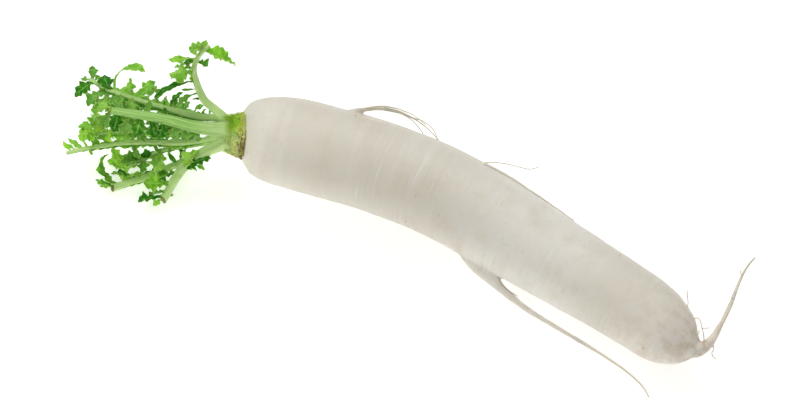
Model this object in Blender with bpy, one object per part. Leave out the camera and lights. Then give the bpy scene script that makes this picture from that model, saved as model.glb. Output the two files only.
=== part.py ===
"""A daikon radish as picked, lying on its side, with its leaves cut short.

The frame: metres, +Z up. The origin is on the small flat where the taproot rests, under its middle.
+X runs from the crown to the root's tip, and +Y away from the side that the long side root lies on.

The nodes are the taproot with its side roots, which grew as one body, the crown, which is the short
stem that carries the leaves, and one node for each leaf: its stalk with all its leaflets.
"""

import math
import random
from dataclasses import dataclass, replace

import bmesh
import bpy
import numpy as np
from mathutils import Vector
from mathutils.bvhtree import BVHTree

MM = 0.001
UP = Vector((0, 0, 1))
WELD = 0.000001

# The taproot: rows of the centre's x, y and z and the radius, in millimetres, from crown to tip.
TAPROOT = (
    (-181.4, -25.5, 38.0, 17.4),
    (-179.3, -24.24, 37.52, 22.0),
    (-175.9, -22.3, 36.8, 26.4),
    (-169.9, -19.6, 35.7, 30.0),
    (-160.5, -16.2, 34.6, 32.8),
    (-147.0, -12.0, 34.0, 34.6),
    (-113.0, -5.8, 34.5, 35.4),
    (-74.0, -0.6, 34.7, 35.6),
    (-26.0, 1.6, 34.4, 35.3),
    (11.0, -0.9, 33.7, 34.6),
    (54.0, -5.8, 31.6, 32.4),
    (90.0, -10.0, 30.0, 30.7),
    (130.0, -15.0, 28.3, 28.8),
    (152.0, -19.0, 27.8, 28.0),
    (168.3, -22.9, 27.0, 26.0),
    (181.0, -24.8, 26.2, 21.6),
    (190.0, -26.2, 26.2, 15.4),
    (196.8, -26.8, 26.8, 7.8),
)
TAPROOT_RINGS, TAPROOT_SIDES = 34, 28
END_CROWDING = 0.72  # how much closer the rings stand at the two ends

# Side roots: rows of a centre and a radius, in millimetres. Each starts inside what it grows from.
TAIL = (
    (190.0, -27.0, 26.4, 7.6),
    (197.2, -27.0, 27.0, 6.4),
    (202.0, -23.6, 29.3, 4.6),
    (205.0, -16.6, 32.6, 3.4),
    (206.2, -5.0, 36.4, 2.5),
    (206.4, 12.0, 40.4, 1.8),
    (205.2, 26.0, 43.0, 1.2),
    (205.2, 41.0, 45.4, 0.8),
    (207.4, 52.0, 47.0, 0.5),
)
LONG_SIDE_ROOT = (
    (-6.0, -12.0, 24.0, 6.5),
    (7.0, -21.0, 20.0, 8.6),
    (22.0, -29.0, 16.5, 8.6),
    (33.5, -34.0, 13.5, 6.4),
    (42.0, -37.5, 11.0, 4.1),
    (55.5, -41.0, 8.0, 2.8),
    (72.0, -44.0, 6.0, 2.3),
    (94.0, -46.0, 4.0, 2.0),
    (116.0, -48.0, 2.8, 1.5),
    (134.0, -50.0, 1.9, 1.0),
    (150.0, -52.5, 1.4, 0.8),
    (164.0, -56.0, 1.1, 0.6),
    (174.0, -60.5, 1.0, 0.5),
    (180.0, -65.0, 0.9, 0.4),
)
UPPER_SIDE_ROOT = (
    (-122.0, 10.0, 50.0, 3.4),
    (-114.0, 18.5, 56.5, 2.8),
    (-103.0, 26.0, 60.0, 2.0),
    (-90.0, 33.0, 60.5, 1.6),
    (-77.0, 37.0, 58.5, 1.1),
    (-68.0, 38.8, 55.0, 0.6),
    (-57.0, 39.0, 50.0, 0.4),
    (-44.0, 36.5, 43.0, 0.35),
)
THREADS = {
    "upper_fork": (
        (-82.0, 36.0, 59.6, 0.7),
        (-72.0, 37.6, 55.4, 0.4),
        (-64.0, 37.6, 49.4, 0.35),
        (-58.0, 36.2, 43.6, 0.35),
    ),
    "upper_loop": (
        (-70.0, 38.4, 55.8, 0.5),
        (-60.0, 41.2, 52.6, 0.35),
        (-51.0, 40.4, 47.4, 0.35),
        (-45.0, 35.4, 42.0, 0.35),
    ),
    "back_hair": (
        (-4.0, 31.6, 50.0, 0.7),
        (6.0, 36.0, 50.8, 0.45),
        (19.0, 39.8, 50.2, 0.35),
        (28.5, 42.6, 49.2, 0.35),
        (33.5, 47.0, 49.5, 0.35),
    ),
    "back_rib": (
        (-2.0, 23.0, 57.0, 1.2),
        (12.0, 25.5, 54.6, 1.2),
        (30.0, 25.2, 51.0, 1.0),
        (48.0, 22.8, 48.0, 0.8),
        (64.0, 20.4, 45.6, 0.6),
        (76.0, 17.6, 43.6, 0.4),
    ),
    "shoulder_hair": (
        (36.0, -31.0, 19.0, 0.7),
        (43.0, -35.6, 16.0, 0.4),
        (51.0, -38.8, 12.6, 0.35),
        (60.0, -38.6, 9.0, 0.35),
    ),
    "tip_hair": (
        (178.6, -9.0, 40.0, 0.8),
        (179.4, -4.6, 43.4, 0.4),
        (177.2, -1.4, 47.4, 0.35),
        (174.8, 1.8, 51.4, 0.35),
    ),
    "tip_loop": (
        (184.0, -12.0, 36.6, 0.8),
        (190.4, -8.8, 38.8, 0.45),
        (195.4, -14.2, 37.8, 0.4),
        (199.0, -18.6, 35.2, 0.4),
        (201.0, -22.4, 32.0, 0.5),
    ),
    "tip_loop_fork": (
        (195.2, -14.6, 37.8, 0.4),
        (198.0, -13.6, 38.8, 0.35),
        (200.6, -12.2, 39.4, 0.35),
    ),
    "tip_spike": (
        (192.6, -21.0, 34.6, 0.5),
        (194.6, -18.8, 36.8, 0.4),
        (194.6, -17.0, 39.0, 0.35),
    ),
    "tail_hook": (
        (204.4, -20.4, 31.0, 0.7),
        (208.6, -21.0, 29.0, 0.4),
        (208.6, -23.6, 26.6, 0.35),
        (211.0, -25.4, 25.0, 0.35),
        (213.6, -25.4, 24.4, 0.3),
    ),
    "tail_stub": (
        (203.6, -19.8, 31.0, 0.9),
        (206.4, -19.0, 30.6, 0.6),
        (208.4, -20.2, 30.0, 0.35),
    ),
    "tail_hair": (
        (205.4, 33.4, 43.8, 0.5),
        (203.6, 35.8, 45.0, 0.35),
        (201.8, 38.4, 46.0, 0.3),
    ),
}

# The crown stands on the taproot's end and carries the leaf stalks on its other end.
CROWN_TURN, CROWN_TILT = math.radians(31), math.radians(11)
CROWN_AXIS = Vector((
    -math.cos(CROWN_TURN) * math.cos(CROWN_TILT),
    -math.sin(CROWN_TURN) * math.cos(CROWN_TILT),
    math.sin(CROWN_TILT),
))
CROWN_FRONT = Vector((math.sin(CROWN_TURN), -math.cos(CROWN_TURN), 0))
CROWN_UP = CROWN_AXIS.cross(CROWN_FRONT)
CROWN_FOOT = Vector(TAPROOT[0][:3]) * MM
CROWN_LENGTH = 0.0105
CROWN_RADII = (0.0176, 0.0140)
SEAM = 0.0003
CROWN_RINGS, CROWN_SIDES = 4, 28
SCARS, SCAR_LENGTH, SCAR_WIDTH = 11, 0.0062, 0.0058

BLADE = 0.0008  # thickness of a leaflet
LONGEST_OFFSET = 1.5  # how far apart its two faces may be at a fold, as a share of its thickness
FLOOR = 0.0010  # the lowest that a leaflet's middle surface lies
CLEARANCE = 0.0007  # free space kept to each side of a leaflet
STALK_SIDES = 8
NARROW = 0.0055  # leaflets narrower than this are plain, without teeth or a raised vein
SPINE_STEPS = 12
LIFTS = (0, 12, -12, 24, -24, 38, -38, 54, -54)  # degrees tried in turn to keep a leaflet clear


@dataclass
class Leaf:
    """One leaf, in millimetres and degrees.

    seat is where its stalk stands on the crown, to the front and up. route is the points that its
    rib follows. stalk is the width and thickness at the foot, then at the end. leaflets are rows of
    the share of the rib where it leaves, the heading seen from above, the pitch, the length, the
    width, how far it turns sideways, how far it bends down and, on some, how deep its teeth are,
    its roll and its twist."""

    name: str
    seat: tuple
    route: tuple
    stalk: tuple
    leaflets: tuple


ARCHED = Leaf(
    "leaf_arched", (-11.1, 5.3),
    (
        (-200.6, -22.1, 48), (-208.1, -21.7, 52.5), (-215.2, -21.8, 58.5), (-219.4, -20.3, 65.5),
        (-223, -18.3, 74), (-225.3, -16.4, 81.5), (-225.5, -13.6, 89), (-222.7, -5.6, 98),
        (-219.6, -0.3, 100.5),
    ),
    (7.6, 6.4, 4.2, 3.4),
    (
        (0.99, 12, -24, 19, 10, -12, 10, 0.3, 0, 15),
        (0.98, 130, 5, 5, 7, 0, 25, 0.4, 10, 0),
        (0.94, 158, 5, 7, 9, 10, 25, 0.4, 10, 0),
        (0.90, 165, 5, 8, 9.5, 20, 25, 0.4, -10, 0),
        (0.85, 172, 5, 8, 10, 20, 25, 0.6, 0, 10),
        (0.79, 30, -20, 8, 7, -20, 10, 0.5, 0, 0),
        (0.80, 210, -15, 10, 8, 10, 10),
        (0.83, 210, 5, 20, 5.6, 0, 10),
        (0.66, 200, -8, 18, 13, 10, 10),
        (0.71, 205, 5, 13, 7, 0, 10),
        (0.55, 210, -4, 33, 4.4, 45, 10),
        (0.46, 215, 0, 11, 2, -10, 10),
        (0.41, 215, -8, 19, 4.6, 50, 10),
        (0.34, 210, 0, 6, 2, 0, 10),
        (0.18, 190, 20, 4, 1.8, 0, 10),
    ),
)
BACK_LONG = Leaf(
    "leaf_back_long", (-9.5, -1.8),
    (
        (-202.2, -22.5, 40), (-216.7, -29.7, 44.5), (-227.8, -34, 48), (-239.5, -38, 51),
        (-252, -41, 53), (-266, -43.3, 54), (-282.3, -45.5, 55), (-295, -45, 55),
        (-303.8, -43.8, 55),
    ),
    (7.4, 5.4, 2.8, 2.2),
    (
        (0.98, 118, 8, 12, 6, 0, 5),
        (0.99, 200, 0, 7, 4.5, 0, 5),
        (0.96, 230, -4, 18, 9, 35, 15, 0.5, 5, 10),
        (0.97, 75, 0, 6, 3, 0, 5),
        (0.84, 228, -2, 20, 9.5, 40, 15, 0.5, -5, 10),
        (0.80, 175, 26, 15, 10.5, -60, 10, 0.4, 0, 10),
        (0.77, 130, 20, 35, 3.6, -150, 10),
        (0.70, 115, 32, 13, 7, -15, 15),
        (0.63, 85, 20, 18, 9, -20, 15),
        (0.58, 90, 18, 14, 3.4, -15, 10),
        (0.50, 120, 22, 12, 5.5, -20, 10),
        (0.45, 110, 25, 8, 2.4, 0, 10),
        (0.41, 110, 12, 16, 4, -70, 10),
        (0.36, 140, 10, 10, 4.4, -50, 10),
        (0.32, 110, 18, 9, 4.6, -60, 10),
        (0.26, 90, 18, 10, 3.8, -60, 10),
        (0.20, 100, 12, 6, 2, -40, 10),
        (0.15, 115, 12, 5, 1.8, -40, 10),
        (0.82, 258, -10, 26, 8, 15, 15),
        (0.77, 255, -25, 16, 9.5, 0, 15),
        (0.70, 265, -35, 13, 9.5, 0, 15),
        (0.63, 268, -40, 12, 8.5, 0, 15),
        (0.56, 285, -45, 11, 7.5, 0, 15),
        (0.49, 290, -40, 9, 6, 0, 10),
    ),
)
CUT_TOP = Leaf(
    "leaf_cut_top", (0.3, 8.2),
    ((-198, -37.7, 52), (-209.9, -44.8, 57), (-230.5, -51.6, 61.5), (-254.7, -60, 64), (-271, -65.9, 65)),
    (15.0, 7.4, 5.8, 4.4),
    (
        (0.97, 165, -5, 15, 9.5, 0, 20),
        (0.90, 145, -8, 17, 9.5, 0, 20),
        (0.80, 130, -12, 16, 9, 0, 20),
        (0.68, 125, -14, 14, 7.5, 0, 20),
        (0.55, 115, -14, 11, 6, 0, 20),
        (0.98, 252, -30, 12, 10.5, 10, 20),
        (0.93, 283, -20, 14, 12, 0, 30),
        (0.84, 280, -24, 14, 12, 0, 30),
        (0.75, 290, -24, 14, 11, -20, 30),
        (0.65, 297, -26, 13, 10, 20, 30),
        (0.56, 290, -30, 12, 9, -20, 25),
        (0.47, 302, -32, 11, 8, 20, 25),
        (0.38, 305, -34, 10, 6.5, -20, 25),
        (0.30, 315, -36, 8, 5, 0, 25),
    ),
)
FRONT_LONG = Leaf(
    "leaf_front_long", (1.0, -2.6),
    (
        (-201.2, -36.5, 35.4), (-208.3, -41.6, 33.3), (-217, -46, 31), (-230.4, -52, 28.5),
        (-246, -58, 26.5), (-261, -65, 24.5), (-273, -72, 22.5), (-287, -80.6, 20),
        (-300.8, -91.2, 17.5),
    ),
    (6.2, 4.8, 3.4, 2.6),
    (
        (0.97, 162, 8, 10, 3.6, -10, 10),
        (0.94, 172, 10, 7, 2.6, 0, 10),
        (0.89, 186, 14, 14, 4, -20, 10),
        (0.87, 154, 16, 17, 5, -50, 10),
        (0.82, 150, 20, 22, 10.5, -10, 20),
        (0.79, 165, 18, 14, 6, -20, 10),
        (0.75, 140, 20, 20, 10, -10, 20),
        (0.71, 165, 20, 12, 5, -30, 10),
        (0.67, 142, 25, 15, 9, -10, 15),
        (0.63, 138, 30, 14, 9, 0, 15),
        (0.59, 134, 28, 13, 8.5, 10, 20),
        (0.55, 130, 32, 12, 8.5, 0, 15),
        (0.51, 126, 28, 11, 8, 10, 20),
        (0.47, 122, 30, 10, 8, 0, 15),
        (0.43, 114, 28, 10, 7.5, 10, 20),
        (0.39, 106, 32, 9, 7, -10, 15),
        (0.34, 98, 30, 8, 6, -10, 15),
        (0.29, 94, 28, 7, 5, 0, 15),
        (0.24, 90, 25, 6, 4.2, 0, 15),
        (0.72, 315, -4, 21, 7.5, 45, 15),
        (0.60, 320, -4, 15, 4.6, 20, 15),
        (0.48, 338, -8, 10, 4.2, 10, 10),
        (0.86, 318, -5, 5, 3, 0, 10),
        (0.36, 295, -10, 8, 3, -30, 10),
    ),
)
CUT_LOW = Leaf(
    "leaf_cut_low", (7.9, 1.5),
    (
        (-192.7, -42.4, 39), (-197.7, -46.1, 35.5), (-203.9, -51.3, 30.5), (-210, -57.2, 25),
        (-213.9, -64.9, 20), (-215.5, -71.9, 16.5), (-216.5, -77.6, 13), (-217.2, -83, 10),
        (-217.8, -88.3, 7.8),
    ),
    (10.5, 7.4, 6.8, 5.4),
    (
        (0.63, 38, 55, 25, 11, -15, 50, 0.5, 0, 10),
        (0.50, 345, 20, 13, 3, 10, 10),
        (0.65, 55, 65, 20, 9, 10, 50, 0.6, 0, 0),
        (0.68, 205, 0, 13, 10, 40, 20),
        (0.81, 213, 12, 19, 13, -10, 15, 0.5, 0, 10),
        (0.90, 215, 5, 12, 6, 10, 15),
        (0.96, 215, -2, 19, 8, 0, 10),
        (0.98, 245, -2, 8, 4.6, 0, 10),
        (0.96, 38, 5, 4, 1.8, 0, 10),
    ),
)
CUT_SHORT = Leaf(
    "leaf_cut_short", (-1.6, -11.4),
    (
        (-200.6, -36.7, 25.4), (-207.6, -42.8, 20.8), (-215.2, -52, 16.4), (-224.2, -61.5, 13),
        (-232.8, -70, 10), (-239.6, -77.8, 8.5), (-249.5, -87.8, 7), (-257.8, -96.5, 6),
    ),
    (6.2, 4.7, 6.0, 4.8),
    (
        (0.98, 185, 4, 15, 4.6, 5, 10),
        (0.97, 160, 14, 13, 4.4, -20, 10),
        (0.92, 200, 14, 33, 5.4, -125, 10),
        (0.77, 196, 8, 21, 7.5, 0, 10),
        (0.66, 215, 10, 18, 6.5, 10, 10),
        (0.82, 178, 14, 12, 7, -10, 10),
        (0.99, 200, 2, 9, 3.6, 0, 10),
        (0.90, 150, 14, 9, 4.4, -20, 10),
    ),
)
MIDDLE = Leaf(
    "leaf_middle", (3.6, -7.4),
    (
        (-204.3, -38.2, 29.2), (-209.6, -40.8, 26.8), (-218, -45.5, 24), (-230.5, -53, 21.5),
        (-238.4, -59, 19), (-247.8, -70.8, 16), (-254, -78.4, 15),
    ),
    (4.4, 3.6, 3.0, 2.4),
    (
        (0.98, 190, 0, 18, 9, 10, 10),
        (0.84, 218, 0, 24, 12, 0, 15),
        (0.90, 235, -4, 18, 10, 10, 15),
        (0.82, 200, 12, 12, 7.5, -20, 10),
        (0.74, 220, 16, 9, 6.5, 0, 10),
        (0.73, 305, -4, 22, 11, 40, 20),
        (0.83, 285, -8, 14, 9, 10, 15),
        (0.66, 290, -6, 13, 6, 20, 15),
        (0.60, 315, -6, 12, 3.6, 40, 10),
        (0.51, 345, 0, 9, 2.8, 20, 10),
        (0.63, 125, 25, 6, 4.4, 0, 10),
        (0.50, 100, 25, 5, 3.6, 0, 10),
        (0.42, 285, -8, 10, 4.2, -20, 10),
    ),
)
INNER = Leaf(
    "leaf_inner", (-4.2, 1.6),
    ((-207, -33.5, 37.5), (-222, -42.5, 38.5), (-242, -54, 39), (-263, -64, 38), (-284, -74, 34)),
    (4.4, 3.8, 2.4, 2.0),
    (
        (1.00, 205, -5, 15, 11, 0, 30),
        (0.96, 240, 8, 10, 9, 20, 20),
        (0.92, 150, 0, 18, 11, -20, 30),
        (0.85, 250, 10, 9, 9, 20, 20),
        (0.80, 125, 0, 19, 11, -20, 30),
        (0.74, 270, 12, 8, 9, 20, 20),
        (0.68, 120, 0, 18, 11, -20, 30),
        (0.62, 262, 15, 8, 9, 20, 20),
        (0.57, 118, 0, 17, 10, -20, 20),
        (0.51, 275, 15, 7, 8, 20, 15),
        (0.46, 112, 0, 15, 9, -20, 20),
        (0.40, 280, 15, 6, 7, 20, 15),
        (0.35, 110, 0, 12, 8, -20, 20),
        (0.28, 290, 10, 5, 5, 20, 10),
        (0.24, 105, 0, 8, 5.5, 0, 10),
        (0.98, 130, 8, 17, 11, -15, 30),
        (0.88, 185, 18, 17, 10, -20, 40),
        (0.76, 160, 20, 16, 10, -20, 40),
        (0.64, 165, 18, 15, 9, -20, 40),
        (0.52, 150, 18, 14, 9, -20, 40),
        (0.41, 150, 15, 12, 8, -20, 40),
    ),
)
LEAVES = (ARCHED, CUT_TOP, BACK_LONG, FRONT_LONG, CUT_LOW, CUT_SHORT, MIDDLE, INNER)


def clear_scene():
    for obj in list(bpy.data.objects):
        bpy.data.objects.remove(obj)


def finish(name, color, roughness):
    """A Principled material of one colour."""
    material = bpy.data.materials.new(name)
    material.use_nodes = True
    shader = material.node_tree.nodes["Principled BSDF"]
    shader.inputs["Base Color"].default_value = (*color, 1)
    shader.inputs["Roughness"].default_value = roughness
    shader.inputs["Metallic"].default_value = 0
    return material


def smooth(rows, count, crowding=0.0):
    """Reads rows evenly along the smooth curve through them. Each starts with a point."""
    rows = np.array(rows, float)
    legs = np.linalg.norm(np.diff(rows[:, :3], axis=0), axis=1)[:, None]
    reach = np.concatenate([[0.0], np.cumsum(legs)])
    slope = np.diff(rows, axis=0) / legs
    inner = (slope[:-1] * legs[1:] + slope[1:] * legs[:-1]) / (legs[1:] + legs[:-1])
    lean = np.vstack([slope[:1], inner, slope[-1:]])
    share = np.linspace(0, 1, count)
    share = share - crowding * np.sin(2 * math.pi * share) / (2 * math.pi)
    at = share * reach[-1]
    leg = np.clip(np.searchsorted(reach, at, "right") - 1, 0, len(legs) - 1)
    t = ((at - reach[leg]) / legs[leg, 0])[:, None]
    from_start = rows[leg] * (1 + 2 * t) + lean[leg] * legs[leg] * t
    from_end = rows[leg + 1] * (3 - 2 * t) - lean[leg + 1] * legs[leg] * (1 - t)
    return (from_start * (1 - t) ** 2 + from_end * t**2).tolist()


def frames(rows, first_normal):
    """(tangent, side, normal) at each row's point, the normal carried along without twist."""
    points = [Vector(row[:3]) for row in rows]
    normal = Vector(first_normal)
    made = []
    for i in range(len(points)):
        tangent = (points[min(i + 1, len(points) - 1)] - points[max(i - 1, 0)]).normalized()
        normal = (normal - tangent * normal.dot(tangent)).normalized()
        made.append((tangent, normal.cross(tangent), normal))
    return made


def grid_of(place, rows, columns):
    """A grid whose vertices stand at place(u, v), both from 0 to 1."""
    bm = bmesh.new()
    bmesh.ops.create_grid(bm, x_segments=rows, y_segments=columns, size=0.5)
    for vert in bm.verts:
        vert.co = place(vert.co.x + 0.5, vert.co.y + 0.5)
    return bm


def tube_of(place, rings, sides):
    """A closed tube whose skin is place(along, round), with flat ends."""
    bm = grid_of(place, rings, sides)
    bmesh.ops.remove_doubles(bm, verts=bm.verts, dist=WELD)
    rims = [edge for edge in bm.edges if edge.is_boundary]
    bmesh.ops.holes_fill(bm, edges=rims, sides=0)
    bmesh.ops.recalc_face_normals(bm, faces=bm.faces)
    return bm


def object_of(name, bm, material):
    mesh = bpy.data.meshes.new(name)
    bm.to_mesh(mesh)
    bm.free()
    mesh.materials.append(material)
    mesh.shade_smooth()
    obj = bpy.data.objects.new(name, mesh)
    bpy.context.scene.collection.objects.link(obj)
    return obj


def islands(bm):
    """The faces of each connected piece of the mesh."""
    left = set(bm.faces)
    while left:
        piece = [left.pop()]
        for face in piece:
            near = {other for edge in face.edges for other in edge.link_faces} & left
            left -= near
            piece += near
        yield piece


def volume_of(faces):
    """Signed volume inside the faces, negative where they close in a pocket."""
    total = 0.0
    for face in faces:
        first, *rest = [vert.co for vert in face.verts]
        total += sum(first.dot(a.cross(b)) for a, b in zip(rest, rest[1:])) / 6
    return total


def keep_skin(mesh):
    """Leaves only the outer skin: pockets closed in between crossing blades are filled."""
    bm = bmesh.new()
    bm.from_mesh(mesh)
    pieces = sorted(islands(bm), key=volume_of)
    inner = [face for piece in pieces[:-1] for face in piece]
    bmesh.ops.delete(bm, geom=inner, context="FACES")
    bmesh.ops.triangulate(bm, faces=bm.faces)
    bm.to_mesh(mesh)
    bm.free()
    mesh.shade_smooth()


def fuse(base, extras):
    """Joins the extras to the base in one Boolean union, and removes them."""
    group = bpy.data.collections.new(base.name + "_extras")
    bpy.context.scene.collection.children.link(group)
    for extra in extras:
        group.objects.link(extra)
    union = base.modifiers.new("union", "BOOLEAN")
    union.operation = "UNION"
    union.operand_type = "COLLECTION"
    union.collection = group
    union.solver = "MANIFOLD"
    graph = bpy.context.evaluated_depsgraph_get()
    joined = bpy.data.meshes.new_from_object(base.evaluated_get(graph))
    base.modifiers.clear()
    base.data = joined
    keep_skin(joined)
    for extra in extras:
        bpy.data.objects.remove(extra)
    bpy.data.collections.remove(group)


# ---------------------------------------------------------------- taproot


def body_relief(along, turn):
    """How far the skin stands out from the round, as a share of the radius: low swells and hollows.
    They fade out underneath, where the root rests."""
    swell = 0.013 * math.sin(9.0 * along + 2.0 * turn) + 0.010 * math.sin(17.0 * along - turn + 1.3)
    waist = -0.022 * math.exp(-(((along - 0.80) / 0.035) ** 2)) * max(0.0, math.cos(turn + 2.4))
    return (swell + waist) * (1 - max(0.0, -math.sin(turn)) ** 3)


def taproot_body(material):
    rows = smooth(TAPROOT, TAPROOT_RINGS + 1, END_CROWDING)
    axes = frames(rows, UP)

    def place(along, around):
        ring = round(along * TAPROOT_RINGS)
        turn = 2 * math.pi * around
        x, y, z, radius = rows[ring]
        _, side, up = axes[ring]
        reach = radius * (1 + body_relief(along, turn))
        spot = Vector((x, y, z)) + reach * (math.cos(turn) * side + math.sin(turn) * up)
        spot.z = max(spot.z, 0)
        return spot * MM

    return object_of("taproot", tube_of(place, TAPROOT_RINGS, TAPROOT_SIDES), material)


def side_root(name, stations, rings, sides, material):
    """A tapering root through the stations, which are centres with radii."""
    rows = smooth(stations, rings + 1)
    axes = frames(rows, (0.3, 0.2, 1))

    def place(along, around):
        ring = round(along * rings)
        turn = 2 * math.pi * around
        _, side, up = axes[ring]
        x, y, z, radius = rows[ring]
        spot = Vector((x, y, z)) + radius * (math.cos(turn) * side + math.sin(turn) * up)
        spot.z = max(spot.z, 0.2)
        return spot * MM

    return object_of(name, tube_of(place, rings, sides), material)


def taproot(material):
    body = taproot_body(material)
    roots = [
        side_root("tail", TAIL, 13, 8, material),
        side_root("long_side_root", LONG_SIDE_ROOT, 20, 8, material),
        side_root("upper_side_root", UPPER_SIDE_ROOT, 12, 6, material),
    ]
    roots += [side_root(name, rows, 2 * len(rows) - 2, 3, material) for name, rows in THREADS.items()]
    fuse(body, roots)
    return body


# ---------------------------------------------------------------- crown


def crown_point(axial, front, up):
    """A point near the crown, from its foot: along its axis, to its front and up."""
    return CROWN_FOOT + CROWN_AXIS * axial + CROWN_FRONT * front + CROWN_UP * up


def crown_radius(along, turn):
    foot, end = CROWN_RADII
    ribs = 0.030 * math.sin(7 * turn + 0.6) + 0.018 * math.sin(12 * turn + 2.0)
    return (foot + (end - foot) * along**0.8) * (1 + ribs)


def scar(index, material):
    """The stub of a shed leaf: a short pointed scale that hugs the crown near its foot."""
    turn = 2 * math.pi * (index + 0.4 * math.sin(5.1 * index)) / SCARS
    start = 0.0012 + 0.0016 * (1 + math.sin(3.7 * index))
    length = SCAR_LENGTH * (0.8 + 0.25 * math.sin(2.3 * index))

    def place(along, across):
        spread = (across - 0.5) * SCAR_WIDTH * (1 - 0.85 * along**1.5)
        share = min((start + length * along) / CROWN_LENGTH, 1)
        here = turn + spread / CROWN_RADII[0]
        reach = crown_radius(share, here) - 0.0005 + 0.0015 * along
        return crown_point(start + length * along, reach * math.cos(here), reach * math.sin(here))

    return object_of(f"scar_{index}", blade_of(place, 2, 2, BLADE), material)


def crown(material):
    def place(along, around):
        turn = 2 * math.pi * around
        reach = crown_radius(along, turn)
        axial = SEAM + (CROWN_LENGTH - SEAM) * along
        return crown_point(axial, reach * math.cos(turn), reach * math.sin(turn))

    body = object_of("crown", tube_of(place, CROWN_RINGS, CROWN_SIDES), material)
    fuse(body, [scar(index, material) for index in range(SCARS)])
    return body


# ---------------------------------------------------------------- leaves


def blade_of(place, rows, columns, thickness):
    """A thin closed blade on the surface place(along, across), split alike on both faces.
    Where it folds sharply, its lower face is held near its upper one."""
    bm = grid_of(place, rows, columns)
    number = bm.verts.layers.int.new("number")
    bmesh.ops.triangulate(bm, faces=bm.faces, quad_method="FIXED")
    bmesh.ops.recalc_face_normals(bm, faces=bm.faces)
    shift = thickness / 2
    bm.normal_update()
    middle = [(vert, vert.normal.copy()) for vert in bm.verts]
    for index, (vert, normal) in enumerate(middle):
        vert.co += normal * shift
        vert[number] = index
    made = bmesh.ops.solidify(bm, geom=bm.faces, thickness=thickness)["geom"]
    for vert in made:
        if isinstance(vert, bmesh.types.BMVert):
            above = middle[vert[number]][0].co
            if (vert.co - above).length > LONGEST_OFFSET * thickness:
                vert.co = above + (vert.co - above).normalized() * thickness
    bm.verts.layers.int.remove(number)
    bmesh.ops.recalc_face_normals(bm, faces=bm.faces)
    return bm


@dataclass
class Leaflet:
    """One leaflet: where it leaves the rib, its direction, its bends in radians and its shape."""

    root: Vector
    heading: float
    pitch: float
    roll: float
    length: float
    width: float
    sweep: float
    droop: float
    twist: float
    peak: float  # how far along it is widest
    cup: float  # how high its edges stand above its vein, as a share of its half width
    wave: float  # phase of the waves along its edges
    depth: float  # how deep its teeth are, as a share of its half width

    def spine(self):
        """(point, side, look) along its vein."""
        ahead = Vector((math.cos(self.heading), math.sin(self.heading), 0)) * math.cos(self.pitch)
        ahead.z = math.sin(self.pitch)
        flat = Vector((-math.sin(self.heading), math.cos(self.heading), 0))
        look = ahead.cross(flat)
        look = look * math.cos(self.roll) + flat * math.sin(self.roll)
        side = look.cross(ahead)
        point = self.root.copy()
        made = []
        for step in range(SPINE_STEPS + 1):
            turn = self.sweep * step / SPINE_STEPS
            bend = self.droop * step / SPINE_STEPS
            level = ahead * math.cos(turn) + side * math.sin(turn)
            here = level * math.cos(bend) - look * math.sin(bend)
            up = look * math.cos(bend) + level * math.sin(bend)
            lean = self.twist * step / SPINE_STEPS
            up = up * math.cos(lean) + up.cross(here) * math.sin(lean)
            made.append((point.copy(), up.cross(here), up))
            point += here * self.length / SPINE_STEPS
        return made

    def teeth(self):
        """How many teeth it has on each side."""
        return 0 if self.width < NARROW else min(max(round(self.length / 0.0100), 1), 2)

    def stations(self):
        """Shares of its length at its foot, at each tooth, by turns on either side, and at its tip."""
        steps = 2 * self.teeth() + 1
        return [step / steps for step in range(steps + 1)] if steps > 1 else [0.0, 0.3, 0.65, 1.0]

    def tooth(self, share, across):
        """0 in the notches of the edge on that side of the vein, and 1 on its teeth."""
        steps = 2 * self.teeth() + 1
        beat = (share * steps + (0.24 if across < 0 else 1.24)) / 2 % 1
        return beat / 0.62 if beat < 0.62 else (1 - beat) / 0.38

    def half_width(self, share, across):
        """The outline, with teeth that point forward, by turns on either side."""
        power = math.log(0.5) / math.log(self.peak)
        outline = max(math.sin(math.pi * min(share, 1) ** power), 0) ** 0.85
        outline = max(outline, 0.36 * (1 - share), 0.04)
        depth = min(self.depth, 5 * share, 3 * (1 - share)) if self.teeth() else 0
        return 0.5 * self.width * outline * (1 + depth * (self.tooth(share, across) - 0.50))

    def place(self, share, across, spine):
        """A point on its middle surface, share of the way along and -1 to 1 across."""
        at = min(share, 1) * SPINE_STEPS
        step = min(int(at), SPINE_STEPS - 1)
        point, side, look = (a.lerp(b, at - step) for a, b in zip(spine[step], spine[step + 1]))
        half = self.half_width(share, across)
        ripple = 0.22 * self.width * math.sin(10 * share + self.wave) * math.sin(math.pi * share)
        rise = self.cup * half * abs(across) ** 1.5 + ripple * across * abs(across)
        spot = point + across * half * side + rise * look
        spot.z = max(spot.z, FLOOR)
        return spot


def leaflet_sheet(leaflet, thickness):
    """The leaflet's closed blade."""
    stations = leaflet.stations()
    spine = leaflet.spine()
    rows = len(stations) - 1

    def place(along, across):
        return leaflet.place(stations[round(along * rows)], 2 * across - 1, spine)

    columns = 1 if leaflet.width < NARROW else 2
    return blade_of(place, rows, columns, thickness)


def leaf_rows(leaf):
    """Rows of centre, half width and half thickness along the stalk, in metres."""
    front, up = leaf.seat
    foot = crown_point(CROWN_LENGTH + SEAM, front * MM, up * MM)
    after = foot + CROWN_AXIS * 0.003
    points = [foot, after] + [Vector(p) * MM for p in leaf.route]
    width, thickness, end_width, end_thickness = (0.5 * MM * size for size in leaf.stalk)
    rows = []
    for i, point in enumerate(points):
        share = i / (len(points) - 1)
        half = width + (end_width - width) * share
        deep = thickness + (end_thickness - thickness) * share
        rows.append((*point, half, deep))
    return rows


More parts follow.
